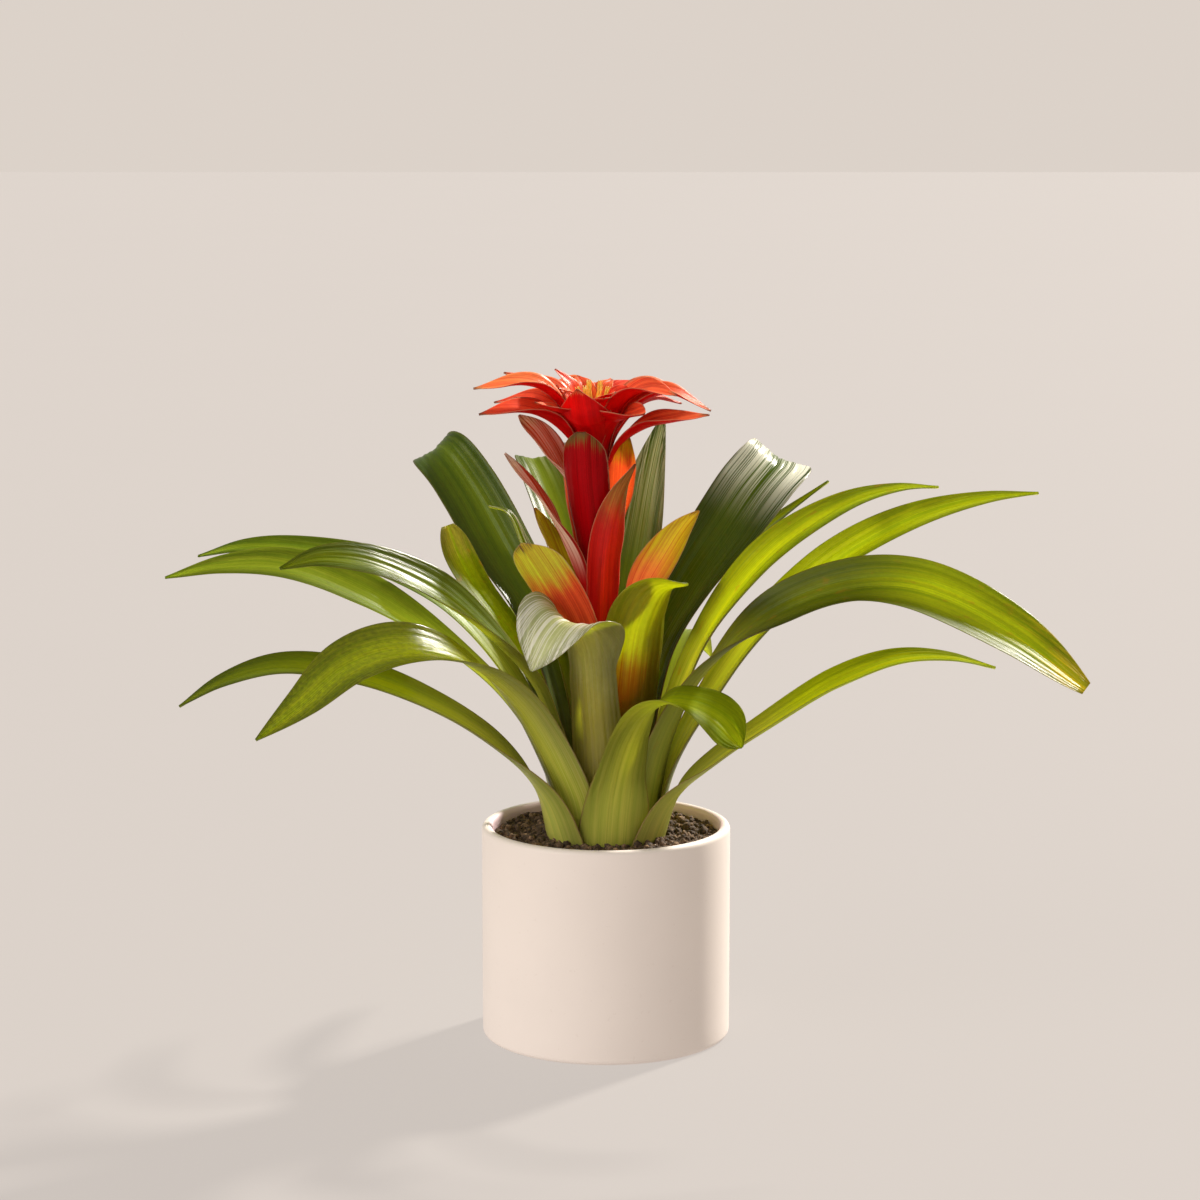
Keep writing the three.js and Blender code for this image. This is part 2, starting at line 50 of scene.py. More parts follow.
# Driving dimensions, the same as the solids'
POT_RADIUS = 70
POT_HEIGHT = 121
POT_WALL = 6
POT_FLOOR = 7
SOIL_TOP = 113
HOLE_FLOOR = 104  # the bottom of the crown's hole in the soil
CROWN_RADIUS = 31
CROWN_FOOT = 107
CROWN_TOP = 134
STALK_RADIUS = 6
STALK_TOP = 318
STALK_LEAN = -8 / 257  # sideways drift in X per millimetre of height
LEAN_FROM = 114
ROOT_OFFSET = 1.15  # from a leaf's middle layer to the crown's slope
HEAD_TOP = 352
HEART = 7  # reach of the star's roots
PETAL_ROLL = 16  # degrees by which the petals at the sides turn to the front
SEAM = 0.3  # gap between pieces that meet

# How finely the shapes are divided
LEAF_STEPS, LEAF_ACROSS = 96, 44
BRACT_STEPS, BRACT_ACROSS = 64, 28
PETAL_STEPS, PETAL_ACROSS = 44, 16
CURVE_STEPS = 32  # from one knot of a centre line to the next
WALL_STEP = 12  # between the rings of a straight wall
SOIL_RINGS, SOIL_SIDES = 58, 260

# What all blades share
BLADE_THICKNESS = 0.75
CURL_PLACES = [0, 0.25, 0.6, 1]  # shares of the length where the curl is given, the root's first
ROOT_HOLD, FREE_HOLD = 4, 0.25  # how strongly a root and a free blade keep their outward direction
HOLD_END = 0.3  # share of the length where the root's hold ends
WAVE_CYCLES = (1.3, 2.7, 4.6)
KEEL_SPREAD = 0.24  # share of the half width over which the middle crease fades
RIDGE_SPACING = 4.6  # from one lengthwise ridge to the next
RIDGE_SETS = ((1.0, 1.0), (0.63, 0.7), (0.37, 0.6))  # number and height, as shares of the first

# Soil
SOIL_INNER = 24  # the soil's inner edge, hidden in the crown
NOISE_CELLS = ((7.0, 1.0), (3.1, 0.5), (1.4, 0.28))  # cell sizes and heights
NOISE_SIZE, NOISE_SHIFT = 64, 200
SOIL_SEED, TONE_SEED = 11, 31
CRUMBS = 1700
FIBRES, FIBRE_STEPS = 70, 10

# The leaves: node leaf_low_left and so on. Every leaf has its own
#   width: [at the root, at the throat, at the widest place], in millimetres
#   throat, peak: shares of the length where the throat ends and where the blade is widest
#   taper: how late the blade narrows to its tip (more is later)
#   curl: radii of the cross-section [throat, blade, tip]; at the root it wraps round the crown
#   roll: turn of the blade about its own centre line, at even stations, in degrees
#   ridge: height of its lengthwise ridges
#   path: its centre line, points [azimuth, reach, height], rooted on the crown
LEAVES = {
    "low_left": dict(width=[38, 28, 31], throat=0.3, curl=[28, 24, 30], roll=[0, -10, -20, -20],
        path=[[219, 32], [213, 44, 143], [202, 66, 170], [194, 100, 193], [191, 140, 209],
        [190, 182, 216], [190, 214, 209], [190, 238, 196]]),
    "front_left": dict(width=[32, 32, 38], throat=0.3, peak=0.62, curl=[32, 34, 60],
        roll=[0, 5, -30, -30],
        path=[[236, 28.8], [234, 31.5, 130], [231, 37, 148], [225, 66, 196], [221, 98, 224],
        [219, 138, 236], [218, 172, 231], [217, 200, 213], [216, 226, 196]]),
    "upper_left_back": dict(width=[34, 27, 31], curl=[30, 24, 30], roll=[0, 0, -20, -30],
        path=[[179, 25.6], [176, 35.5, 165], [171, 57, 205], [168, 92, 242], [168, 132, 263],
        [169, 178, 272], [170, 210, 273], [170, 236, 267]]),
    "upper_left_mid": dict(width=[36, 30, 35], throat=0.28, curl=[32, 24, 34], roll=[0, 0, -30, -30],
        path=[[186, 27.2], [185, 37.5, 160], [182, 60, 196], [181, 100, 229], [181, 140, 253],
        [181, 180, 268], [180, 214, 268], [180, 246, 261]]),
    "upper_left_front": dict(width=[28, 26, 38], ridge=0.14, throat=0.28, curl=[30, 26, 34],
        roll=[0, 0, -28, -38],
        path=[[208, 24], [206, 27.5, 155], [200, 42, 202], [198, 72, 236], [199, 103, 260],
        [200, 138, 277], [200, 165, 281], [200, 187, 276]]),
    "tall_left": dict(width=[30, 28, 38], ridge=0.14, peak=0.7, taper=4, curl=[30, 28, 60],
        roll=[0, -6, -30, -35],
        path=[[134, 21], [133, 27.5, 172], [132, 44, 213], [129, 66, 237.5], [129.5, 93, 264],
        [130.5, 124, 298], [131, 145, 316], [129, 163, 318], [125, 176, 306]]),
    "small_left": dict(width=[20, 15, 21], peak=0.85, taper=4, tip=8, curl=[28, 22, 30],
        roll=[0, -4, -10, -32],
        path=[[151, 23], [152, 29.8, 163.5], [151.5, 49, 205], [150, 69, 231], [149.5, 87, 250],
        [149.5, 99, 268], [150, 105, 283]]),
    "back_left": dict(width=[28, 26, 28], peak=0.7, curl=[24, 24, 40],
        path=[[108, 18.6], [107, 24, 172], [106, 35, 212], [106, 60, 248], [106, 102, 280],
        [106, 142, 303], [106, 160, 310], [103, 175, 304], [99, 187, 290]]),
    "back_right": dict(width=[28, 32, 38], ridge=0.22, peak=0.55, taper=2.4, tip=5, curl=[22, 26, 14],
        path=[[78, 16.6], [75, 21, 172], [73, 31, 212], [71, 46, 250], [70, 60, 282], [69, 70, 308],
        [68, 77, 326], [67, 83, 340]]),
    "tall_right": dict(width=[30, 29, 46], ridge=0.2, peak=0.7, taper=4, curl=[30, 30, 60],
        roll=[0, 6, 26, 26],
        path=[[50, 21], [48, 27, 168], [47, 40, 212], [45, 66, 246], [44, 96, 276], [44.5, 121, 299],
        [46, 143, 312], [50, 160, 314], [54, 174, 303]]),
    "tall_right_back": dict(width=[24, 18, 22], curl=[28, 24, 30],
        path=[[58, 23], [57, 31, 163], [54, 47, 205], [50, 70, 235], [46, 102, 261], [41, 136, 284],
        [37, 163, 303]]),
    "long_right_high": dict(width=[26, 29, 34], throat=0.25, curl=[34, 24, 40], roll=[0, 2, 20, 12],
        path=[[24, 25.2], [21, 35.5, 162], [18, 52, 210], [15, 71, 242], [13, 103, 276], [12, 140, 299],
        [12, 170, 307], [12, 193, 307]]),
    "long_right_mid": dict(width=[36, 30, 34], throat=0.28, curl=[32, 22, 40], roll=[0, 12, 24, 20],
        path=[[2, 28.4], [3, 39, 154], [4, 58, 190], [5, 88, 231], [5, 128, 266], [5, 172, 291],
        [5, 214, 303], [5, 244, 306]]),
    "long_right_droop": dict(width=[30, 30, 38], throat=0.28, taper=5, tip=11, curl=[34, 24, 60],
        roll=[0, -6, 34, 44, 30],
        path=[[-38, 27.2], [-32, 37.5, 168], [-24, 57, 208], [-20, 90, 240], [-17, 134, 260],
        [-16, 174, 262], [-15, 226, 240], [-15, 268, 211]]),
    "low_right": dict(width=[38, 28, 30], throat=0.3, curl=[28, 22, 26], roll=[0, 5, 12, 10],
        path=[[-34, 31.6], [-28, 44, 139], [-15, 64, 160], [-8, 96, 182], [-5, 130, 203], [-4, 162, 216],
        [-4, 192, 218], [-4, 217, 213]]),
    "front_curl": dict(width=[44, 25, 36], throat=0.5, peak=0.75, taper=4, curl=[36, 26, 60],
        roll=[0, -10, 4, 38],
        path=[[-82, 30.4], [-80, 37.5, 140], [-76, 42, 162], [-71, 47.5, 180], [-65, 54, 194],
        [-58, 63, 201], [-50, 74, 199], [-44, 86, 191], [-39.5, 96, 177]]),
    "front_fold": dict(width=[32, 27, 57], ridge=0.2, throat=0.95, peak=0.74, curl=[30, 34, 60],
        roll=[0, 0, -10, -16],
        path=[[-95, 25.8], [-98, 34.5, 165], [-101, 40, 200], [-103, 46, 229], [-108, 55, 244],
        [-112, 64, 247], [-116, 73, 239], [-120, 81, 221]]),
    "inner_front_right": dict(width=[30, 32, 42], ridge=0.14, peak=0.7, taper=3, curl=[24, 22, 24],
        roll=[0, -8, -20, -20],
        path=[[-61, 21], [-60, 26, 170], [-58, 31, 215], [-55, 37, 243], [-49, 47, 260], [-42, 60, 264]]),
    "inner_left": dict(width=[26, 24, 22], peak=0.5, curl=[18, 18, 14], roll=[0, -10, -10, 0],
        path=[[165, 14.6], [165, 20, 190], [165, 36, 245], [165, 48, 278], [165, 57, 296],
        [165, 68, 299]]),
    "rear_left": dict(width=[34, 31, 36], throat=0.28, curl=[32, 26, 40], roll=[0, -6, -10, -6],
        path=[[126, 28.6], [122, 43, 150], [118, 66, 182], [115, 100, 210], [113, 138, 221],
        [112, 170, 216], [112, 196, 199]]),
    "rear_right": dict(width=[36, 30, 35], throat=0.28, curl=[32, 26, 40], roll=[0, 6, 10, 6],
        path=[[56, 29.8], [59, 42, 146], [64, 66, 176], [69, 99, 200], [71, 134, 209], [71, 165, 203],
        [70, 190, 184]]),
    "rear_mid": dict(width=[38, 28, 33], throat=0.28, curl=[32, 26, 40],
        path=[[92, 31.2], [92, 46, 140], [92, 69, 162], [93, 104, 178], [93, 140, 182], [93, 172, 172],
        [93, 198, 150]]),
}

# The bracts up the stalk, node bract_low_left and so on, in the same form but rooted on the stalk
BRACTS = {
    "low_left": dict(width=[16, 26, 31], peak=0.7, taper=4.5, curl=[12, 26, 34],
        roll=[0, 6, 22, 22],
        path=[[-126, 7, 190], [-126, 13, 215], [-126, 28, 242], [-126, 44, 262], [-127, 56, 277],
        [-128, 65, 288]]),
    "low_right": dict(width=[10, 20, 30], peak=0.55, taper=2.6, curl=[15, 16, 20],
        roll=[0, 12, 55, 45],
        path=[[-18, 7, 198], [-15, 14, 226], [-12, 26, 252], [-11, 40, 275], [-10, 49, 289],
        [-10, 58, 300]]),
    "low_back": dict(width=[14, 22, 26], peak=0.5, curl=[12, 14, 14],
        path=[[104, 7, 205], [98, 11.5, 235], [90, 24, 268], [84, 40, 292], [84, 52, 303]]),
    "back_left": dict(width=[16, 18, 20], peak=0.5, curl=[10, 12, 12], roll=[0, -8, -32, -45],
        path=[[178, 7, 219], [178, 12.5, 246], [178, 21, 270], [178, 28, 288], [178, 34, 300]]),
    "mid_right": dict(width=[18, 21, 22], peak=0.45, curl=[11, 13, 13], roll=[0, 0, -15, -10],
        path=[[-72, 7, 227], [-73, 12, 252], [-72, 16.5, 274], [-66, 22, 296], [-58, 28, 314],
        [-50, 35, 328]]),
    "mid_left": dict(width=[13, 18, 18], peak=0.4, curl=[11, 10, 9], roll=[0, 0, -35, -70],
        path=[[204, 7, 236], [206, 12.5, 264], [209, 24, 290], [210, 37, 311], [210, 46, 322],
        [210, 56, 334]]),
    "back": dict(width=[13, 21, 24], peak=0.5, curl=[12, 14, 14],
        path=[[112, 7, 245], [112, 12, 270], [112, 22, 300], [112, 34, 322], [112, 44, 332]]),
    "right": dict(width=[12, 18, 23], peak=0.5, taper=3, curl=[11, 13, 14], roll=[0, 8, 40, 45],
        path=[[4, 7, 254], [6, 11, 276], [9, 14, 298], [12, 16.5, 318], [14, 18, 332], [14, 19.5, 341]]),
    "front": dict(width=[15, 22, 30], peak=0.6, taper=5, tip=5, curl=[12, 18, 20],
        path=[[-104, 7, 264], [-106, 12, 282], [-107, 17.5, 300], [-108, 20.5, 316], [-108, 21.5, 331],
        [-108, 21.5, 345]]),
    "upper_back": dict(width=[12, 14, 23], peak=0.5, curl=[10, 13, 14],
        path=[[110, 7, 284], [109, 12, 304], [105, 20, 323], [101, 29, 338], [98, 38, 347]]),
    "upper_left": dict(width=[11, 13, 22], peak=0.62, curl=[10, 12, 12], roll=[0, -3, -35, -50],
        path=[[176, 7, 293], [177, 12, 309], [178, 21, 325], [179, 31, 341], [180, 41, 352]]),
}

# The star of bracts at the top: [azimuth, root height, crest reach, crest height, tip reach,
# tip height, width]. The first whorl is the lowest and longest.
STAR = [
    [200, 322, 42, 356, 66, 355, 28], [258, 324, 25, 350, 37, 370, 36],
    [306, 328, 28, 353, 48, 357, 32], [346, 321, 46, 350, 66, 354, 26],
    [5, 326, 42, 364, 66, 354, 25], [36, 323, 42, 359, 62, 355, 26],
    [64, 326, 40, 360, 62, 356, 26], [92, 322, 42, 357, 64, 354, 26],
    [122, 326, 40, 360, 62, 357, 26], [150, 323, 42, 359, 64, 356, 26],
    [190, 332, 38, 370, 66, 368, 25], [229, 327, 33, 358, 47, 363, 22],
    [284, 337, 18, 362, 27, 364, 20], [338, 330, 32, 367, 50, 365, 30],
    [16, 337, 36, 367, 56, 360, 23], [50, 333, 27, 366, 43, 368, 20],
    [86, 337, 28, 367, 46, 365, 22], [122, 333, 30, 368, 48, 366, 22],
    [160, 337, 34, 369, 52, 374, 20],
]

# The small bracts round the flowers, in the same form
CENTRE = [
    [215, 344, 14, 366, 22, 368, 14], [310, 344, 13, 364, 20, 366, 14],
    [5, 344, 15, 366, 23, 367, 14], [60, 344, 15, 368, 23, 370, 14],
    [112, 344, 14, 369, 22, 372, 14], [163, 344, 14, 371, 21, 377, 13],
]

# The florets inside the star, in two rings: count, reach, length, outward splay in degrees
FLORETS = [(3, 1.8, 18, 8), (6, 4.2, 15, 17)]
FLORET_MOUTH = 0.75  # share of its length where a floret opens

# Colours, linear
CREAM = (0.88, 0.79, 0.725)
# Painted light on the pot's inner wall: a pinker tint against the green light off the leaves
INNER_WALL_PAINTED_LIGHT = (0.93, 0.70, 0.77)
FLOOR = (0.075, 0.070, 0.066)
FLOOR_GLOW = (0.565, 0.512, 0.472)
SKY = (0.715, 0.645, 0.585)
OVERHEAD = (0.30, 0.28, 0.27)
GREEN = (0.11, 0.165, 0.003)
DARK_GREEN = (0.040, 0.085, 0.001)
FRESH_GREEN = (0.21, 0.28, 0.004)
SHEATH = (0.58, 0.58, 0.12)
RIGHT_SHEATH = (0.34, 0.34, 0.06)
LEAF_GLOW = (0.88, 0.98, 0.012)
BACK_GREEN = (0.42, 0.46, 0.08)
RED = (0.98, 0.125, 0.035)
# Painted shade: the deep red of a bract's outer face
SHADED_OUTER_RED = (0.60, 0.002, 0.006)
# Pale streaks painted as light on some bracts
PINK_WHITE_SHEEN = (1.0, 0.70, 0.55)
ORANGE_GLOW = (1.0, 0.32, 0.05)
DRY_TIP = (0.16, 0.07, 0.03)
SPOT_BROWN = (0.42, 0.19, 0.02)
SPOT_GLOW = (0.75, 0.38, 0.02)
MARGIN_NEAR = 0.8  # strength of the dry margin at the sheath

# What sets single leaves apart from the rest. Their shade, sides and middle are painted light
# and shade, and the pale streaks set by silver, with front_fold's pale green, are painted highlight.
LEAF_LOOKS = {
    "tall_left": dict(green=DARK_GREEN, foot=0.12, through=0.09),
    "small_left": dict(green=(0.09, 0.14, 0.002), foot=0.15, through=0.35, spots=0.6,
        tip=(0.26, 0.28, 0.06), shine=0.06, mottle=0.08),
    "back_left": dict(green=DARK_GREEN, foot=0.12, painted_sheen=[0.7, 1.0, 0.5]),
    "back_right": dict(green=(0.05, 0.105, 0.002), foot=0.1, through=0.1, painted_sheen=[0.6, 0.96, 0.9],
        painted_sheen_from=0.43, painted_sheen_colour=(0.62, 0.66, 0.36), through_under=0.3),
    "tall_right": dict(green=DARK_GREEN, foot=0.1, through=0.1, gloss=0.26, painted_sheen=[0.66, 0.84, 1.0],
        painted_sheen_from=0.40, painted_sheen_colour=(0.85, 0.85, 0.68)),
    "tall_right_back": dict(green=DARK_GREEN, through=0.35),
    "long_right_high": dict(green=FRESH_GREEN, through=0.6, spots=0.4, sheath=RIGHT_SHEATH),
    "long_right_mid": dict(green=FRESH_GREEN, through=0.6, sheath=RIGHT_SHEATH),
    "long_right_droop": dict(green=(0.12, 0.18, 0.002), through=0.5, tip=(0.6, 0.48, 0.02), spots=0.3,
        sheath=RIGHT_SHEATH, shade=((0.3, 0.9), (0.42, 0.5), (0.58, 0.55), (0.72, 1.0))),
    "low_right": dict(green=FRESH_GREEN, through=0.6, foot=0.35),
    "inner_front_right": dict(green=(0.24, 0.30, 0.004), sheath=(0.42, 0.07, 0.006), foot=0.5,
        back=(0.34, 0.33, 0.02), through=0.6, through_under=0.45, foot_glow=(0.75, 0.13, 0.01),
        under_glow=(0.9, 0.92, 0.10), shade=((0.0, 0.5), (0.45, 0.6), (0.72, 1.0))),
    "front_fold": dict(sheath=(0.40, 0.33, 0.045), back=(0.20, 0.15, 0.012), foot=0.42,
        green=(0.56, 0.56, 0.32), gloss=0.2, shine=0.5, painted_sheen=[0.60, 0.70, 1.0],
        painted_sheen_colour=(1.0, 0.97, 0.86), dark_streak=(0.86, 0.9, 0.8), light_streak=(1.1, 1.08, 1.1)),
    "front_curl": dict(sheath=(0.56, 0.56, 0.08), foot=0.5, green=FRESH_GREEN, shine=0.05, gloss=0.45),
    "front_left": dict(sheath=(0.78, 0.76, 0.10), foot=0.35, through=0.5, green=(0.18, 0.22, 0.003),
        mottle=0.13, gloss=0.25, shine=0.6, shade=((0.55, 1.0), (0.9, 0.85))),
    "low_left": dict(foot=0.35, shade=((0.5, 1.0), (0.85, 0.75))),
    "upper_left_front": dict(shine=0.3, gloss=0.28, shade=((0.5, 1.0), (0.85, 0.8))),
    "upper_left_mid": dict(glow=(0.76, 0.95, 0.09), through=0.62, through_under=0.85,
        shade=((0.35, 1.1), (0.65, 0.8))),
    "upper_left_back": dict(glow=(0.62, 0.86, 0.06), through=0.5, through_under=0.7,
        shade=((0.35, 1.0), (0.65, 0.85))),
    "inner_left": dict(sheath=(0.4, 0.42, 0.2), painted_sheen=[0.5, 0.9, 0.9]),
}

# The same for the bracts. The outer face's deep red is painted shade; on low_left, low_right and
# right it is raised to the inner face's red, as painted light shining through.
BRACT_LOOKS = {
    "low_left": dict(olive=(0.62, 0.82), through=0.75, end=(0.72, 0.62, 0.04), outer_face_painted_red=(1.0, 0.105, 0.035),
        glow=(1.0, 0.16, 0.04), through_under=0.1, sides=1.0, under_glow=(1.0, 0.55, 0.22)),
    "low_right": dict(olive=(0.48, 0.82), through=0.7, red=(0.98, 0.22, 0.10), outer_face_painted_red=(1.0, 0.20, 0.10),
        end=(0.56, 0.52, 0.03), through_under=0.5, glow=(1.0, 0.28, 0.12), under_glow=(1.0, 0.66, 0.4)),
    "low_back": dict(olive=(0.4, 0.7)),
    "back_left": dict(olive=(0.2, 0.6), through=0.7, outer_face_painted_red=(0.85, 0.12, 0.03), through_under=0.5,
        under_glow=(1.0, 0.7, 0.3)),
    "mid_right": dict(olive=(0.58, 0.84), end=(0.30, 0.18, 0.03), outer_face_painted_red=(0.78, 0.012, 0.008),
        under_glow=(0.95, 0.16, 0.08)),
    # The pink-white streaks on mid_left and upper_left are painted light, for a sunlit inner face
    "mid_left": dict(olive=(0.8, 0.97), end=(0.32, 0.13, 0.05), painted_sheen=[0.2, 0.45, 1.0],
        painted_sheen_colour=PINK_WHITE_SHEEN, painted_sheen_under=1.0, painted_sheen_from=0.44, through_under=0.2,
        under_glow=(1.0, 0.45, 0.35)),
    "right": dict(olive=(0.8, 0.96), through=0.75, end=(0.55, 0.36, 0.02), outer_face_painted_red=(1.0, 0.10, 0.03),
        red=(1.0, 0.12, 0.04), through_under=0.75, glow=(1.0, 0.22, 0.07), under_glow=(1.0, 0.5, 0.25)),
    "front": dict(olive=(0.88, 0.965), through=0.3, end=(0.17, 0.10, 0.02), outer_face_painted_red=(0.36, 0.0006, 0.003),
        through_under=0.12, shine=0.06, under_glow=(0.8, 0.02, 0.02)),
    "upper_left": dict(olive=(0.8, 0.95), end=(0.5, 0.26, 0.12), painted_sheen=[0.1, 0.35, 1.0],
        painted_sheen_colour=PINK_WHITE_SHEEN, painted_sheen_under=1.0, painted_sheen_from=0.43, outer_face_painted_red=(0.85, 0.03, 0.02),
        through_under=0.3, under_glow=(1.0, 0.55, 0.45)),
}
# The star: a more orange red on the upper faces and a deep red on the outer faces, painted light on the lit
# tops and painted shade on the undersides
STAR_LOOK = dict(
    red=(1.0, 0.17, 0.055), olive=(0.93, 0.955), end=(0.75, 0.22, 0.08), end_glow=(0.9, 0.4, 0.1),
    outer_face_painted_red=(0.62, 0.002, 0.006), under_glow=(1.0, 0.05, 0.06), through=0.1, through_under=0.45,
    shine=0.13, sides=1.0, middle=1.1, vary=((0.92, 0.3, 0.4), (1.0, 1.25, 1.1)))

# Suns: azimuth, elevation and angle in degrees, strength, colour
SUNS = {"key": (49, 37, 5, 6.1, (1.0, 0.94, 0.86)), "fill": (214, 24, 50, 1.5, (1.0, 0.965, 0.93))}
FLOOR_REACH = 14  # metres

# The camera, in metres, and its tilt down in degrees
CAMERA_PLACE = (-0.003387, -1.83666, 0.54910)
CAMERA_DIP = 9.3
CAMERA_LENS = 100


# Numbers

def smooth(x):
    x = np.clip(x, 0, 1)
    return x * x * (3 - 2 * x)


def stations(values, share):
    """Values given at even stations, smoothly joined."""
    values = np.asarray(values, float)
    x = np.asarray(share) * (len(values) - 1)
    i = np.clip(np.floor(x).astype(int), 0, len(values) - 2)
    return values[i] + (values[i + 1] - values[i]) * smooth(x - i)


def lean_at(height):
    """How far the stalk's axis has drifted in X."""
    return STALK_LEAN * max(height - LEAN_FROM, 0)


def unit(v):
    return v / np.linalg.norm(v, axis=-1, keepdims=True)


def circle(sides):
    """Places round a circle of radius 1 in the XY plane."""
    turns = np.linspace(0, 2 * math.pi, sides, endpoint=False)
    return np.stack([np.cos(turns), np.sin(turns), np.zeros(sides)], -1)


def halfway(a, b):
    return tuple(0.5 * (x + y) for x, y in zip(a, b))


def dimmed(colour, share):
    return tuple(share * c for c in colour)


# Blades

def centre_line(knots, count):
    """A centripetal Catmull-Rom curve through the knots, at evenly spaced places, and its length."""
    ends = np.vstack([2 * knots[0] - knots[1], knots, 2 * knots[-1] - knots[-2]])
    fine = []
    for p0, p1, p2, p3 in zip(ends, ends[1:], ends[2:], ends[3:]):
        d0, d1, d2 = (math.sqrt(np.linalg.norm(b - a)) for a, b in ((p0, p1), (p1, p2), (p2, p3)))
        leave = ((p1 - p0) / d0 - (p2 - p0) / (d0 + d1) + (p2 - p1) / d1) * d1
        arrive = ((p2 - p1) / d1 - (p3 - p1) / (d1 + d2) + (p3 - p2) / d2) * d1
        u = np.linspace(0, 1, CURVE_STEPS, endpoint=False)[:, None]
        cubic = 2 * p1 - 2 * p2 + leave + arrive
        square = 3 * p2 - 3 * p1 - 2 * leave - arrive
        fine.append(((cubic * u + square) * u + leave) * u + p1)
    fine = np.vstack(fine + [knots[-1:]])
    run = np.r_[0, np.cumsum(np.linalg.norm(np.diff(fine, axis=0), axis=1))]
    even = np.linspace(0, run[-1], count)
    return np.stack([np.interp(even, run, fine[:, k]) for k in range(3)], 1), run[-1]


def half_width(spec, s):
    root, neck, blade = spec["width"]
    throat, peak = spec.get("throat", 0.2), spec.get("peak", 0.55)
    early = 0.6 * throat
    rising = (neck + (blade - neck) * smooth((s - early) / (peak - early))
              + (root - neck) * (1 - smooth(s / throat)))
    x = np.clip((s - peak) / (1 - peak), 0, 1)
    falling = blade * (1 - x ** spec.get("taper", 2.2)) + spec.get("tip", 1.6) * x ** 4
    return np.where(s < peak, rising, falling) / 2


def blade(spec, path, root_curl, leans, steps, across, seed, wave, ridge, keel):
    """The middle layer of a blade: places, outward directions and where each lies on the blade.

    wave, ridge, keel: height of the ripple, of the lengthwise ridges and of the middle crease"""
    path = np.asarray(path, float)
    azimuth = np.radians(path[:, 0])
    shift = np.array([lean_at(z) if leans else 0.0 for z in path[:, 2]])
    knots = np.stack([shift + path[:, 1] * np.cos(azimuth), path[:, 1] * np.sin(azimuth),
                      path[:, 2]], 1)
    centre, length = centre_line(knots, steps + 1)
    s = np.linspace(0, 1, steps + 1)
    chord = np.r_[0, np.cumsum(np.linalg.norm(np.diff(knots, axis=0), axis=1))]
    turn = np.interp(s, chord / chord[-1], azimuth)
    along = unit(np.gradient(centre, axis=0))
    # The root keeps the direction out from the stem, and the blade follows its own line
    hold = FREE_HOLD + ROOT_HOLD * (1 - smooth(s / HOLD_END))
    heading = unit(np.stack([along[:, 0] + hold * np.cos(turn),
                             along[:, 1] + hold * np.sin(turn)], 1))
    side = np.stack([-heading[:, 1], heading[:, 0], np.zeros_like(s)], 1)
    side = unit(side - (side * along).sum(1, keepdims=True) * along)
    upper = np.cross(along, side)
    roll = np.radians(stations(spec.get("roll", [0, 0]), s))[:, None]
    side, upper = (side * np.cos(roll) + upper * np.sin(roll),
                   upper * np.cos(roll) - side * np.sin(roll))
    radius = np.interp(s, CURL_PLACES, [root_curl, *spec["curl"]])
    half = half_width(spec, s)
    v = np.linspace(-1, 1, across + 1)
    angle = v[None] * (half / radius)[:, None]
    cos, sin = np.cos(angle)[..., None], np.sin(angle)[..., None]
    bend = radius[:, None, None]
    places = centre[:, None] + side[:, None] * bend * sin + upper[:, None] * bend * (1 - cos)
    out = upper[:, None] * cos - side[:, None] * sin
    # A slow uneven wave in the free part, stronger at the margins
    draw = random.Random(seed)
    free = smooth((s - 0.3) / 0.25) * half / 20
    ripple = np.zeros((steps + 1, across + 1))
    for cycles in WAVE_CYCLES:
        phase, tilt = draw.uniform(0, 6.28), draw.uniform(-1.2, 1.2)
        ripple += np.sin(2 * math.pi * cycles * s[:, None] + phase + tilt * v[None]) / cycles
    edge = 0.35 + 0.65 * v[None] ** 2
    rise = wave * ripple * edge * free[:, None]
    # The middle is sunk in a crease
    rise = rise - keel * np.exp(-np.abs(v[None]) / KEEL_SPREAD) * smooth((s - 0.15) / 0.3)[:, None]
    # Fine lengthwise ridges, uneven from one to the next
    count = max(spec["width"]) / RIDGE_SPACING
    for share, size in RIDGE_SETS:
        phase, drift = draw.uniform(0, 6.28), draw.uniform(-0.6, 0.6)
        swell = np.sin(math.pi * count * share * v[None] + phase + drift * s[:, None])
        rise = rise + ridge * size * swell * smooth(s / 0.3)[:, None]
    places = places + out * rise[..., None]
    return {"places": places, "out": out, "s": s, "v": v, "half": half, "length": length}


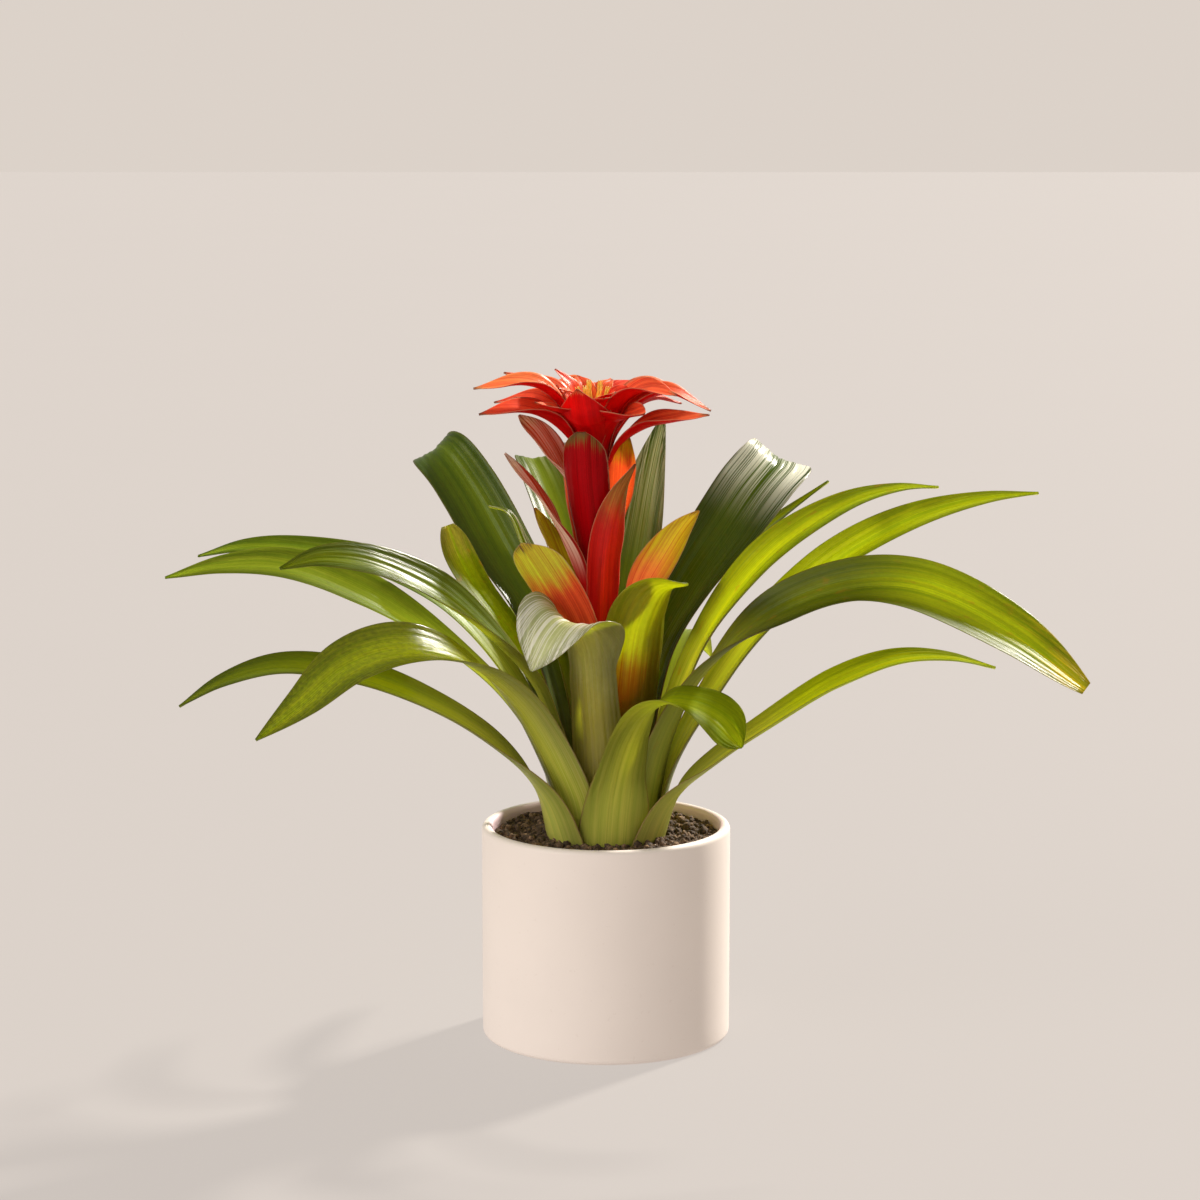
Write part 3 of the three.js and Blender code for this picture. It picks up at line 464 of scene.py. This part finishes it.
def shell(sheet, tone=0.5):
    """A closed blade round its middle layer, thinner towards its margins and tip.

    Gives points, faces, and for each point: share (across, along), grain (millimetres across and
    along), under (1 on the lower face) and tone."""
    places, out, s, v = sheet["places"], sheet["out"], sheet["s"], sheet["v"]
    rows, columns = places.shape[:2]
    thick = BLADE_THICKNESS * (1 - 0.35 * s[:, None]) * (1 - 0.5 * np.abs(v[None]) ** 3)
    points = np.concatenate([(places + out * thick[..., None] / 2).reshape(-1, 3),
                             (places - out * thick[..., None] / 2).reshape(-1, 3)])
    count = rows * columns
    index = np.arange(count).reshape(rows, columns)
    upper = np.stack([index[:-1, :-1], index[1:, :-1], index[1:, 1:], index[:-1, 1:]], -1).reshape(-1, 4)
    rim = np.r_[index[0], index[1:, -1], index[-1, -2::-1], index[-2:0:-1, 0]]
    following = np.roll(rim, -1)
    edge = np.stack([rim, following, following + count, rim + count], -1)
    share = np.stack(np.broadcast_arrays((v[None] + 1) / 2, s[:, None]), -1).reshape(-1, 2)
    grain = np.stack(np.broadcast_arrays(v[None] * sheet["half"][:, None],
                                         s[:, None] * sheet["length"]), -1).reshape(-1, 2)
    return {
        "points": points, "faces": np.concatenate([upper[:, ::-1], upper + count, edge[:, ::-1]]),
        "share": np.tile(share, (2, 1)), "grain": np.tile(grain, (2, 1)),
        "under": np.repeat([0.0, 1.0], count), "tone": np.full(2 * count, tone),
    }


# Bodies and pieces

def merged(parts):
    """Several bodies in one."""
    whole = {key: np.concatenate([p[key] for p in parts]) for key in parts[0] if key != "faces"}
    starts = np.cumsum([0] + [len(p["points"]) for p in parts])
    whole["faces"] = [[i + start for i in face] for p, start in zip(parts, starts) for face in p["faces"]]
    return whole


def toned(body, tone):
    return {**body, "tone": np.full(len(body["points"]), tone)}


def ringed(rings, start, end):
    """A closed body from even rings of places and a point at each end."""
    rows, sides = len(rings), len(rings[0])
    here = np.arange(rows * sides).reshape(rows, sides)
    beside = np.roll(here, -1, axis=1)
    walls = np.stack([here[:-1], beside[:-1], beside[1:], here[1:]], -1).reshape(-1, 4)
    first, last = rows * sides, rows * sides + 1
    caps = [[first, b, a] for a, b in zip(here[0], beside[0])]
    caps += [[last, a, b] for a, b in zip(here[-1], beside[-1])]
    return {"points": np.concatenate([*rings, [start, end]]), "faces": [*walls, *caps]}


def lathe(profile, sides, lean=False):
    """A closed body from a profile of (radius, height) that starts and ends on the axis."""
    middles = [(lean_at(height) if lean else 0.0, 0, height) for _, height in profile]
    rings = [radius * circle(sides) + middle for middle, (radius, _) in zip(middles, profile)]
    return ringed(rings[1:-1], middles[0], middles[-1])


def tube(path, radii, sides):
    """A closed strand along points."""
    along = unit(np.gradient(path, axis=0))
    across = unit(np.cross(along, [0.3, 0.2, 0.93]))
    third = np.cross(along, across)
    turns = circle(sides)[:, :2]
    rings = [p + r * turns @ [a, b] for p, r, a, b in zip(path, radii, across, third)]
    return ringed(rings, path[0], path[-1])


def placed(name, data):
    """An object in the scene."""
    thing = bpy.data.objects.new(name, data)
    bpy.context.scene.collection.objects.link(thing)
    return thing


def add_piece(name, body, material, node):
    """A mesh object from points in millimetres, fastened to the frame in place of a node."""
    mesh = bpy.data.meshes.new(name)
    mesh.from_pydata((body["points"] * MM).tolist(), [], [list(map(int, f)) for f in body["faces"]])
    corners = np.empty(len(mesh.loops), int)
    mesh.loops.foreach_get("vertex_index", corners)
    for key in [k for k in ("share", "grain") if k in body]:
        layer = mesh.uv_layers.new(name=key)
        layer.data.foreach_set("uv", body[key][corners].astype(np.float32).ravel())
    for key in [k for k in ("under", "tone") if k in body]:
        values = mesh.attributes.new(key, "FLOAT", "POINT").data
        values.foreach_set("value", body[key].astype(np.float32))
    mesh.shade_smooth()
    mesh.materials.append(material)
    work = bmesh.new()
    work.from_mesh(mesh)
    bmesh.ops.recalc_face_normals(work, faces=work.faces)
    work.to_mesh(mesh)
    work.free()
    piece = placed(name, mesh)
    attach(piece, "root")
    if node:
        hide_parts(node)


# Materials

class Paint:
    """The node tree of a material or world, filled by short calls."""

    def __init__(self, owner):
        self.owner = owner
        owner.use_nodes = True
        self.tree = owner.node_tree
        self.tree.nodes.clear()

    def set(self, socket, value):
        if isinstance(value, bpy.types.NodeSocket):
            self.tree.links.new(value, socket)
        else:
            socket.default_value = value

    def add(self, kind, inputs=None, **settings):
        node = self.tree.nodes.new("ShaderNode" + kind)
        for key, value in settings.items():
            setattr(node, key, value)
        for key, value in (inputs or {}).items():
            self.set(node.inputs[key], value)
        return node

    def math(self, operation, a, b=0.0, clamp=False):
        return self.add("Math", {0: a, 1: b}, operation=operation, use_clamp=clamp).outputs[0]

    def times(self, a, b):
        return self.math("MULTIPLY", a, b)

    def swing(self, value, size):
        """How far a value is from a half, times a size."""
        return self.times(self.math("SUBTRACT", value, 0.5), size)

    def vector(self, operation, a, b=(0, 0, 0)):
        return self.add("VectorMath", {0: a, 1: b}, operation=operation)

    def span(self, value, low, high, to_low=0.0, to_high=1.0):
        """Value brought from one range to another, smoothly, and held at its ends."""
        return self.add("MapRange", {
            "Value": value, "From Min": low, "From Max": high, "To Min": to_low, "To Max": to_high,
        }, interpolation_type="SMOOTHSTEP").outputs["Result"]

    def mix(self, a, b, factor, blend="MIX"):
        node = self.add("Mix", {0: factor}, data_type="RGBA", blend_type=blend)
        for socket, colour in ((node.inputs[6], a), (node.inputs[7], b)):
            self.set(socket, (*colour, 1) if isinstance(colour, tuple) else colour)
        return node.outputs[2]

    def tint(self, colour, by, share=1.0):
        return self.mix(colour, by, share, "MULTIPLY")

    def grey(self, value):
        return self.add("CombineColor", {0: value, 1: value, 2: value}).outputs[0]

    def ramp(self, factor, stops):
        node = self.add("ValToRGB", {"Fac": factor})
        node.color_ramp.interpolation = "EASE"
        elements = node.color_ramp.elements
        while len(elements) < len(stops):
            elements.new(0.5)
        for element, (place, colour) in zip(elements, stops):
            element.position = place
            element.color = (*colour, 1)
        return node.outputs["Color"]

    def attribute(self, name):
        return self.add("Attribute", attribute_name=name).outputs["Fac"]

    def layer(self, name):
        """The two shares or lengths of a UV layer."""
        uv = self.add("UVMap", uv_map=name).outputs["UV"]
        split = self.add("SeparateXYZ", {"Vector": uv})
        return uv, split.outputs["X"], split.outputs["Y"]

    def place(self):
        return self.add("TexCoord").outputs["Object"]

    def noise(self, vector, scale, stretch=(1, 1, 1), detail=3.0, roughness=0.5):
        drawn = self.add("Mapping", {"Vector": vector, "Scale": stretch}).outputs["Vector"]
        return self.add("TexNoise", {
            "Vector": drawn, "Scale": scale, "Detail": detail, "Roughness": roughness,
        }).outputs["Fac"]

    def relief(self, height, strength, distance):
        return self.add("Bump", {"Height": height, "Strength": strength, "Distance": distance}).outputs[0]

    def surface(self, colour, roughness, **more):
        return self.add("BsdfPrincipled", {"Base Color": colour, "Roughness": roughness, **more}).outputs[0]

    def finish(self, shader):
        self.add("OutputMaterial", {"Surface": shader})
        return self.owner


def new_paint(name):
    return Paint(bpy.data.materials.new(name))


def blade_material(name, stops, back_stops, glow_stops, pale_stops, seed, through=0.2, through_under=0.6,
                   foot_through=0.25, gloss=0.34, shine=0.26, dark_streak=(0.74, 0.84, 0.66),
                   light_streak=(1.22, 1.12, 1.25), margin=(0.30, 0.17, 0.07), margin_far=0.2, spots=0.0,
                   painted_sheen=None, painted_sheen_colour=(0.62, 0.62, 0.46), painted_sheen_under=0.0, painted_sheen_from=0.46,
                   middle=1.0, sides=1.0, shade=((0.0, 1.0), (1.0, 1.0)), mottle=0.03, vary=None):
    """A leaf or bract with fine long veins, a thin dry margin and light that shines through.

    stops, back_stops: colours along the upper and the lower face
    glow_stops, pale_stops: colours of the light that comes out of each face
    through, through_under, foot_through: share of that light at each face and what the sheath leaves
    silver: painted highlight, pale streaks [start, full, strength] along the blade, on the veins from
    painted_sheen_from up
    middle, sides, shade: painted light and shade, the brightness in the middle, at the sides and at places
    along the blade
    mottle, spots: strength of small blotches and of brown spots
    vary: two tints between which each blade of a piece lies, by its tone"""
    paint = new_paint(name)
    _, across, along = paint.layer("share")
    grain, _, _ = paint.layer("grain")
    under = paint.attribute("under")
    shifted = paint.vector("ADD", grain, (seed, 7 * seed, 0)).outputs[0]
    fine = paint.noise(shifted, 1.0, (1.6, 0.010, 1), detail=2.5)
    broad = paint.noise(shifted, 1.0, (0.33, 0.005, 1), detail=1.5)
    patchy = paint.noise(shifted, 1.0, (0.06, 0.035, 1))
    veins = paint.math("ADD", paint.times(fine, 0.55), paint.times(broad, 0.45))
    where = paint.math("ADD", along, paint.swing(patchy, 0.22))
    where = paint.math("ADD", where, paint.swing(veins, 0.35), clamp=True)
    streaks = paint.mix(dark_streak, light_streak, paint.span(veins, 0.34, 0.66))
    colour = paint.mix(paint.ramp(where, stops), paint.ramp(where, back_stops), under)
    colour = paint.tint(colour, streaks)
    glow = paint.tint(paint.ramp(where, glow_stops), streaks, 0.8)
    if vary:
        colour = paint.tint(colour, paint.mix(*vary, paint.attribute("tone")))
    # Painted light and shade across and along the blade, as its arch and bends catch the light; mottled
    # beyond the sheath
    from_middle = paint.math("ABSOLUTE", paint.math("SUBTRACT", paint.times(across, 2.0), 1.0))
    edge = paint.math("SUBTRACT", 1.0, from_middle)
    uneven_edge = paint.math("ADD", edge, paint.swing(patchy, 0.5))
    blotches = paint.noise(shifted, 1.0, (0.5, 0.35, 1), detail=4.0, roughness=0.65)
    blotches = paint.mix((0.5, 0.5, 0.5), blotches, paint.span(along, 0.3, 0.6))
    tone = paint.grey(paint.times(paint.span(uneven_edge, 0.1, 0.9, sides, middle),
                                  paint.span(blotches, 0.35, 0.65, 1.0 - mottle, 1.0 + mottle)))
    tone = paint.tint(tone, paint.ramp(along, [(at, (share,) * 3) for at, share in shade]))
    colour = paint.tint(colour, tone)
    glow = paint.tint(glow, tone)
    # Painted highlight: pale streaks on the veins, and on some bracts painted light for a sunlit inner face
    if painted_sheen:
        start, full, strength = painted_sheen
        bloom = paint.times(paint.span(along, start, full, 0.0, strength),
                            paint.span(veins, painted_sheen_from, painted_sheen_from + 0.14))
        bloom = paint.times(bloom, paint.span(under, 0.0, 1.0, 1.0, painted_sheen_under))
        colour = paint.mix(colour, painted_sheen_colour, bloom)
    # The dry margin, strongest at the sheath
    uneven = paint.times(paint.noise(shifted, 1.0, (0.3, 0.3, 1)), 0.14)
    dry = paint.times(paint.span(edge, 0.0, uneven, 1.0, 0.0),
                      paint.span(along, 0.2, 0.5, MARGIN_NEAR, margin_far))
    colour = paint.mix(colour, margin, dry)
    glow = paint.mix(glow, margin, dry)
    if spots:
        blots = paint.span(paint.noise(shifted, 1.0, (0.22, 0.1, 1)), 0.60, 0.72, 0.0, spots)
        colour = paint.mix(colour, SPOT_BROWN, blots)
        glow = paint.mix(glow, SPOT_GLOW, blots)
    relief = paint.relief(veins, 0.45, 0.0007)
    rough = paint.span(fine, 0.3, 0.7, gloss - 0.05, gloss + 0.09)
    surface = paint.surface(colour, rough, Normal=relief, **{"Specular IOR Level": shine})
    glow = paint.mix(glow, paint.tint(paint.ramp(where, pale_stops), tone), under)
    passed = paint.add("BsdfTranslucent", {"Color": glow, "Normal": relief}).outputs[0]
    # The thick sheath lets little light through
    share = paint.times(paint.span(under, 0.0, 1.0, through, through_under),
                        paint.span(along, 0.05, 0.45, foot_through, 1.0))
    return paint.finish(paint.add("MixShader", {0: share, 1: surface, 2: passed}).outputs[0])


def leaf_material(name, seed, green=GREEN, tip=None, sheath=SHEATH, foot=0.3, through=0.34,
                  foot_glow=(0.92, 0.90, 0.20), back=BACK_GREEN, glow=LEAF_GLOW,
                  under_glow=(0.95, 0.97, 0.5), sides=0.72, **look):
    """Pale at the sheath, up to the foot's share of the length, and green beyond it."""
    tip = tip or green
    full = foot + 0.22
    stops = [(0.02, sheath), (foot, halfway(sheath, green)), (full, green), (0.88, green), (1.0, tip)]
    glows = [(0.02, foot_glow), (foot, halfway(foot_glow, glow)), (full, glow), (0.88, glow),
             (1.0, glow if tip == green else (0.9, 0.75, 0.02))]
    pales = [(0.02, foot_glow), (foot, foot_glow), (full, under_glow), (1.0, under_glow)]
    backs = [(place, tuple(0.45 * a + 0.55 * b for a, b in zip(colour, back)))
             for place, colour in stops]
    return blade_material(name, stops, backs, glows, pales, seed, through, sides=sides, middle=1.12, **look)


def bract_material(name, seed, olive=(0.7, 0.92), red=RED, outer_face_painted_red=SHADED_OUTER_RED, end=(0.40, 0.33, 0.02),
                   glow=ORANGE_GLOW, end_glow=(0.85, 0.70, 0.03), under_glow=(1.0, 0.30, 0.12),
                   through=0.45, through_under=0.3, sides=0.85, **look):
    """Red from the foot up, the outer face a deeper red as painted shade, and olive from one share
    of its length to another."""
    start, full = olive
    along = lambda first, last, dry: [(0.0, first), (start, first), (full, last), (0.96, last), (1.0, dry)]
    return blade_material(
        name, along(red, end, DRY_TIP), along(outer_face_painted_red, end, DRY_TIP), along(glow, end_glow, (0.4, 0.2, 0.05)),
        [(0.0, under_glow), (1.0, under_glow)], seed, through, through_under, foot_through=0.6,
        dark_streak=(0.72, 0.42, 0.5), light_streak=(1.1, 1.35, 1.3), margin=(0.62, 0.36, 0.20),
        margin_far=0.6, sides=sides, **look)


def pot_material():
    paint = new_paint("pot_cream")
    where = paint.place()
    cloud = paint.noise(where, 22.0)
    grit = paint.noise(where, 900.0, detail=2.0)
    colour = paint.mix(CREAM, dimmed(CREAM, 0.98), paint.span(cloud, 0.35, 0.7))
    # Painted light: the inner wall is tinted pinker, for warm light on it against the green light off the
    # leaves
    flat = paint.vector("MULTIPLY", where, (1, 1, 0)).outputs[0]
    reach = paint.vector("LENGTH", flat).outputs["Value"]
    painted_inner_light = paint.span(reach, (POT_RADIUS - POT_WALL + 1) * MM, (POT_RADIUS - POT_WALL / 2) * MM, 1.0, 0.0)
    colour = paint.mix(colour, INNER_WALL_PAINTED_LIGHT, painted_inner_light)
    specks = paint.span(paint.noise(where, 420.0, detail=1.0), 0.70, 0.78, 0.0, 0.08)
    colour = paint.mix(colour, (0.5, 0.36, 0.27), specks)
    return paint.finish(paint.surface(colour, paint.span(grit, 0.3, 0.7, 0.46, 0.56),
                                      Normal=paint.relief(grit, 0.12, 0.0002)))


def soil_material(name, dark, pale, scale):
    paint = new_paint(name)
    grains = paint.noise(paint.place(), scale, detail=6.0, roughness=0.7)
    colour = paint.mix(dark, pale, paint.span(grains, 0.35, 0.75))
    colour = paint.tint(colour, paint.grey(paint.span(paint.attribute("tone"), 0.0, 1.0, 0.55, 1.5)))
    return paint.finish(paint.surface(colour, paint.span(grains, 0.3, 0.7, 0.8, 0.95),
                                      Normal=paint.relief(grains, 0.7, 0.0008)))


def plain_material(name, colour, roughness):
    paint = new_paint(name)
    cloud = paint.noise(paint.place(), 60.0)
    return paint.finish(paint.surface(paint.mix(colour, dimmed(colour, 0.85), cloud), roughness))


def floor_material():
    """A pale floor with a light of its own, so that shadows on it stay faint."""
    paint = new_paint("floor_pale")
    cloud = paint.noise(paint.place(), 2.0)
    light = {"Specular IOR Level": 0.1, "Emission Color": (*FLOOR_GLOW, 1), "Emission Strength": 1.0}
    return paint.finish(paint.surface(paint.mix(FLOOR, dimmed(FLOOR, 0.95), cloud), 0.85, **light))


# The pot

def arc(x, y, radius, start, end, count):
    turns = np.radians(np.linspace(start, end, count + 1))
    return [(x + radius * math.cos(t), y + radius * math.sin(t)) for t in turns]


def build_pot():
    inner, rim, foot, corner = POT_RADIUS - POT_WALL, POT_WALL / 2, 3, 5
    profile = [
        (0, 0), (POT_RADIUS - foot - 8, 0),
        *arc(POT_RADIUS - foot, foot, foot, -90, 0, 8),
        *[(POT_RADIUS, z) for z in range(WALL_STEP, POT_HEIGHT - 6, WALL_STEP)],
        *arc(POT_RADIUS - rim, POT_HEIGHT - rim, rim, 0, 180, 20),
        *[(inner, z) for z in range(POT_HEIGHT - 15, POT_FLOOR + WALL_STEP, -WALL_STEP)],
        *arc(inner - corner, POT_FLOOR + corner, corner, 0, -90, 6),
        (0, POT_FLOOR),
    ]
    add_piece("planter", lathe(profile, 192), pot_material(), "pot")


# Soil

def value_noise(x, y, seed):
    """Smooth seeded noise over the plane."""
    total = 0.0
    for k, (cell, height) in enumerate(NOISE_CELLS):
        grid = np.random.default_rng(seed + k).uniform(-1, 1, (NOISE_SIZE, NOISE_SIZE))
        u, w = x / cell + NOISE_SHIFT, y / cell + NOISE_SHIFT
        i, j = np.floor(u).astype(int), np.floor(w).astype(int)
        fu, fw = smooth(u - i), smooth(w - j)
        corner = lambda a, b: grid[(i + a) % NOISE_SIZE, (j + b) % NOISE_SIZE]
        total = total + height * ((corner(0, 0) * (1 - fu) + corner(1, 0) * fu) * (1 - fw)
                                  + (corner(0, 1) * (1 - fu) + corner(1, 1) * fu) * fw)
    return total


def soil_height(x, y):
    """Heaped round the crown and against the wall, more so at the back."""
    reach = np.hypot(x, y)
    back = 0.5 + 0.5 * y / np.maximum(reach, 1)
    by_crown = 2.2 * smooth((58 - reach) / 24)
    by_wall = (4.6 * back - 1.2) * smooth((reach - 46) / 14)
    return SOIL_TOP - 0.6 + by_crown + by_wall + 0.95 * value_noise(x, y, SOIL_SEED)


def build_soil():
    wall, floor, bevel = POT_RADIUS - POT_WALL - SEAM, POT_FLOOR + SEAM, 5
    ring = lambda radius, height: radius * circle(SOIL_SIDES) + [0, 0, height]
    top = np.array([ring(reach, 0) for reach in np.linspace(SOIL_INNER, wall, SOIL_RINGS)])
    top[..., 2] = soil_height(top[..., 0], top[..., 1])
    rings = [ring(SOIL_INNER, HOLE_FLOOR), *top, ring(wall, floor + bevel), ring(wall - bevel, floor)]
    body = ringed(rings, (0, 0, HOLE_FLOOR), (0, 0, floor))
    x, y, _ = body["points"].T
    body["tone"] = 0.45 + 0.35 * value_noise(x, y, TONE_SEED)
    add_piece("potting_soil", body,
              soil_material("soil_dark", (0.036, 0.022, 0.012), (0.20, 0.12, 0.062), 700.0),
              "soil")


def scattered(draw, nearest, farthest):
    """A place on the soil, drawn evenly between two reaches."""
    reach, turn = math.sqrt(draw.uniform(nearest ** 2, farthest ** 2)), draw.uniform(0, 2 * math.pi)
    return reach * math.cos(turn), reach * math.sin(turn)


def crumb_shape():
    work = bmesh.new()
    bmesh.ops.create_icosphere(work, subdivisions=1, radius=1.0)
    points = np.array([v.co[:] for v in work.verts])
    faces = [[v.index for v in f.verts] for f in work.faces]
    work.free()
    return points, faces


def build_crumbs():
    """Loose lumps, bits of bark and grit on the soil, sunk well in."""
    points, faces = crumb_shape()
    draw = np.random.default_rng(5)
    parts = []
    for _ in range(CRUMBS):
        x, y = scattered(draw, 30, 62.5)
        size = 0.55 + 2.7 * draw.uniform() ** 3  # mostly small
        turned, _ = np.linalg.qr(unit(draw.normal(size=(3, 3))))
        shape = points * (1 + 0.28 * draw.uniform(-1, 1, (len(points), 1)))
        shape = (shape * size * draw.uniform([0.6, 0.6, 0.5], [1.4, 1.1, 0.9])) @ turned.T
        shape = shape + [x, y, soil_height(x, y) + 0.15 * size]
        far = np.hypot(shape[:, 0], shape[:, 1])
        shape[:, :2] *= np.minimum(1, (POT_RADIUS - POT_WALL - 0.4) / far)[:, None]
        parts.append(toned({"points": shape, "faces": faces}, draw.uniform() ** 1.5))
    add_piece("soil_crumbs", merged(parts),
              soil_material("soil_crumb", (0.044, 0.026, 0.014), (0.34, 0.21, 0.11), 500.0),
              None)


def build_fibres():
    """Thin roots and fibres that lie on the soil."""
    draw = np.random.default_rng(9)
    parts = []
    for _ in range(FIBRES):
        x, y = scattered(draw, 36, 59)
        heading, bend = draw.uniform(0, 2 * math.pi), draw.uniform(-0.25, 0.25)
        length, radius = draw.uniform(4, 13), draw.uniform(0.1, 0.26)
        path = []
        for k in range(FIBRE_STEPS):
            if math.hypot(x, y) > 61:
                break
            lift = 0.9 * math.sin(math.pi * k / (FIBRE_STEPS - 1))
            path.append((x, y, soil_height(x, y) + lift))
            x += length / FIBRE_STEPS * math.cos(heading)
            y += length / FIBRE_STEPS * math.sin(heading)
            heading += bend
        if len(path) < FIBRE_STEPS / 2:
            continue
        radii = radius * np.sin(np.linspace(0.35, math.pi - 0.35, len(path)))
        parts.append(toned(tube(np.array(path), radii, 6), draw.uniform(0.3, 1)))
    add_piece("soil_fibres", merged(parts),
              soil_material("soil_fibre", (0.09, 0.05, 0.025), (0.32, 0.21, 0.12), 300.0),
              None)


# The plant

def crown_height(reach):
    slope = (CROWN_RADIUS - STALK_RADIUS) / (CROWN_TOP - CROWN_FOOT)
    return CROWN_FOOT + max(CROWN_RADIUS - (reach - ROOT_OFFSET), 0) / slope


def build_stem():
    bottom = HOLE_FLOOR + SEAM
    profile = [(0, bottom), (CROWN_RADIUS, bottom), (CROWN_RADIUS, CROWN_FOOT)]
    profile += [(CROWN_RADIUS + (STALK_RADIUS - CROWN_RADIUS) * t, CROWN_FOOT
                 + (CROWN_TOP - CROWN_FOOT) * t) for t in np.linspace(0.1, 1, 10)]
    profile += [(STALK_RADIUS, z) for z in range(CROWN_TOP + WALL_STEP, STALK_TOP, WALL_STEP)]
    profile += [(STALK_RADIUS, STALK_TOP), (0, STALK_TOP)]
    add_piece("crown_and_stalk", lathe(profile, 64, lean=True),
              plain_material("stalk_green", (0.34, 0.30, 0.08), 0.5), "stem")


def build_leaves():
    for number, (name, spec) in enumerate(LEAVES.items()):
        node = "leaf_" + name
        azimuth, reach = spec["path"][0]
        path = [[azimuth, reach, crown_height(reach)], *spec["path"][1:]]
        sheet = blade(spec, path, reach, False, LEAF_STEPS, LEAF_ACROSS, node, wave=0.8,
                      ridge=spec.get("ridge", 0.1), keel=1.0)
        material = leaf_material(node + "_paint", 3.7 * number, **LEAF_LOOKS.get(name, {}))
        add_piece("fine_" + node, shell(sheet), material, node)


def build_bracts():
    for number, (name, spec) in enumerate(BRACTS.items()):
        node = "bract_" + name
        sheet = blade(spec, spec["path"], spec["path"][0][1], True, BRACT_STEPS, BRACT_ACROSS, node,
                      wave=0.6, ridge=0.06, keel=0.5)
        material = bract_material(node + "_paint", 5.3 * number, **BRACT_LOOKS.get(name, {}))
        add_piece("fine_" + node, shell(sheet), material, node)


def petal_path(azimuth, root, crest_reach, crest_height, tip_reach, tip_height):
    rise = lambda out, up: [azimuth, HEART + out * (crest_reach - HEART),
                            root + up * (crest_height - root)]
    return [rise(0, 0), rise(0.2, 0.5), rise(0.6, 0.88), rise(1, 1), [azimuth, tip_reach, tip_height]]


def build_star():
    parts = []
    draw = random.Random(3)
    for number, (*bend, width) in enumerate(STAR + CENTRE):
        spec = dict(width=[6, 11, width], peak=0.55, taper=1.6, tip=1.2, curl=[10, 16, 16],
                    roll=[0, PETAL_ROLL * math.cos(math.radians(bend[0]))])
        sheet = blade(spec, petal_path(*bend), HEART, True, PETAL_STEPS, PETAL_ACROSS, number,
                      wave=0.9, ridge=0.05, keel=0.6)
        parts.append(shell(sheet, tone=draw.random()))
    add_piece("star", merged(parts), bract_material("star_paint", 2.0, **STAR_LOOK), "bloom")
    head = [(0, STALK_TOP + SEAM), (STALK_RADIUS, STALK_TOP + SEAM), (8.4, 322), (9.3, 340),
            (11.5, HEAD_TOP), (0, HEAD_TOP)]
    add_piece("star_head", lathe(head, 48, lean=True),
              plain_material("head_red", (0.45, 0.02, 0.012), 0.45), None)


def floret(root, axis, aside, length, twist):
    """A slim tube with three petals at its mouth."""
    steps = np.linspace(0, 1, 9)
    third = np.cross(axis, aside)
    parts = [tube(root + axis * (FLORET_MOUTH * length * steps)[:, None],
                  np.interp(steps, [0, 0.3, 0.8, 1], [1.1, 1.4, 1.15, 0.7]), 10)]
    for petal in range(3):
        way = 2 * math.pi * petal / 3 + twist
        spread = math.cos(way) * aside + math.sin(way) * third
        share = FLORET_MOUTH - 0.15 + (1.15 - FLORET_MOUTH) * steps
        path = root + axis * (length * share)[:, None] + spread * (0.5 + 0.8 * steps ** 2)[:, None]
        parts.append(tube(path, np.interp(steps, [0, 0.5, 1], [0.4, 0.62, 0.2]), 7))
    return parts


def build_flowers():
    """A tuft of florets on a low cushion."""
    cushion = [(0, HEAD_TOP + SEAM), (5.5, HEAD_TOP + SEAM), (5.5, 355), (3.5, 357), (0, 357.5)]
    parts = [lathe(cushion, 24, lean=True)]
    for number, reach, length, splay in FLORETS:
        lean = math.radians(splay)
        for k in range(number):
            turn = 2 * math.pi * k / number
            out, aside = np.array([[math.cos(turn), math.sin(turn), 0],
                                   [-math.sin(turn), math.cos(turn), 0]])
            root = np.array([lean_at(HEAD_TOP), 0, HEAD_TOP + 1.5]) + reach * out
            axis = out * math.sin(lean) + np.array([0, 0, math.cos(lean)])
            parts += floret(root, axis, aside, length, k)
    add_piece("florets", merged(parts), plain_material("floret_yellow", (0.88, 0.62, 0.08), 0.45),
              "flowers")


# The stage

def build_floor():
    mesh = bpy.data.meshes.new("floor")
    corners = [(-FLOOR_REACH, -FLOOR_REACH, 0), (FLOOR_REACH, -FLOOR_REACH, 0),
               (FLOOR_REACH, FLOOR_REACH, 0), (-FLOOR_REACH, FLOOR_REACH, 0)]
    mesh.from_pydata(corners, [], [(0, 1, 2, 3)])
    mesh.materials.append(floor_material())
    floor = placed("floor", mesh)


def build_lights():
    for name, (azimuth, elevation, angle, strength, colour) in SUNS.items():
        data = bpy.data.lights.new(name, "SUN")
        data.angle = math.radians(angle)
        data.energy = strength
        data.color = colour
        light = placed(name, data)
        light.rotation_euler = (math.radians(90 - elevation), 0, math.radians(azimuth + 90))
        light.location = (0, 0, 2)
    # Pale round about, darker overhead
    world = bpy.data.worlds.new("studio")
    paint = Paint(world)
    split = paint.add("SeparateXYZ", {"Vector": paint.add("TexCoord").outputs["Generated"]})
    sky = paint.mix(SKY, OVERHEAD, paint.span(split.outputs["Z"], 0.08, 0.6))
    paint.add("OutputWorld", {"Surface": paint.add("Background", {"Color": sky}).outputs[0]})
    bpy.context.scene.world = world


def build_camera():
    data = bpy.data.cameras.new("camera")
    data.lens = CAMERA_LENS
    data.sensor_width = 36
    data.clip_end = 100
    camera = placed("camera", data)
    camera.location = CAMERA_PLACE
    camera.rotation_euler = (math.radians(90 - CAMERA_DIP), 0, 0)
    bpy.context.scene.camera = camera


bpy.context.scene.view_settings.view_transform = "Standard"
build_camera()
build_floor()
build_lights()
build_pot()
build_soil()
build_crumbs()
build_fibres()
build_stem()
build_leaves()
build_bracts()
build_star()
build_flowers()
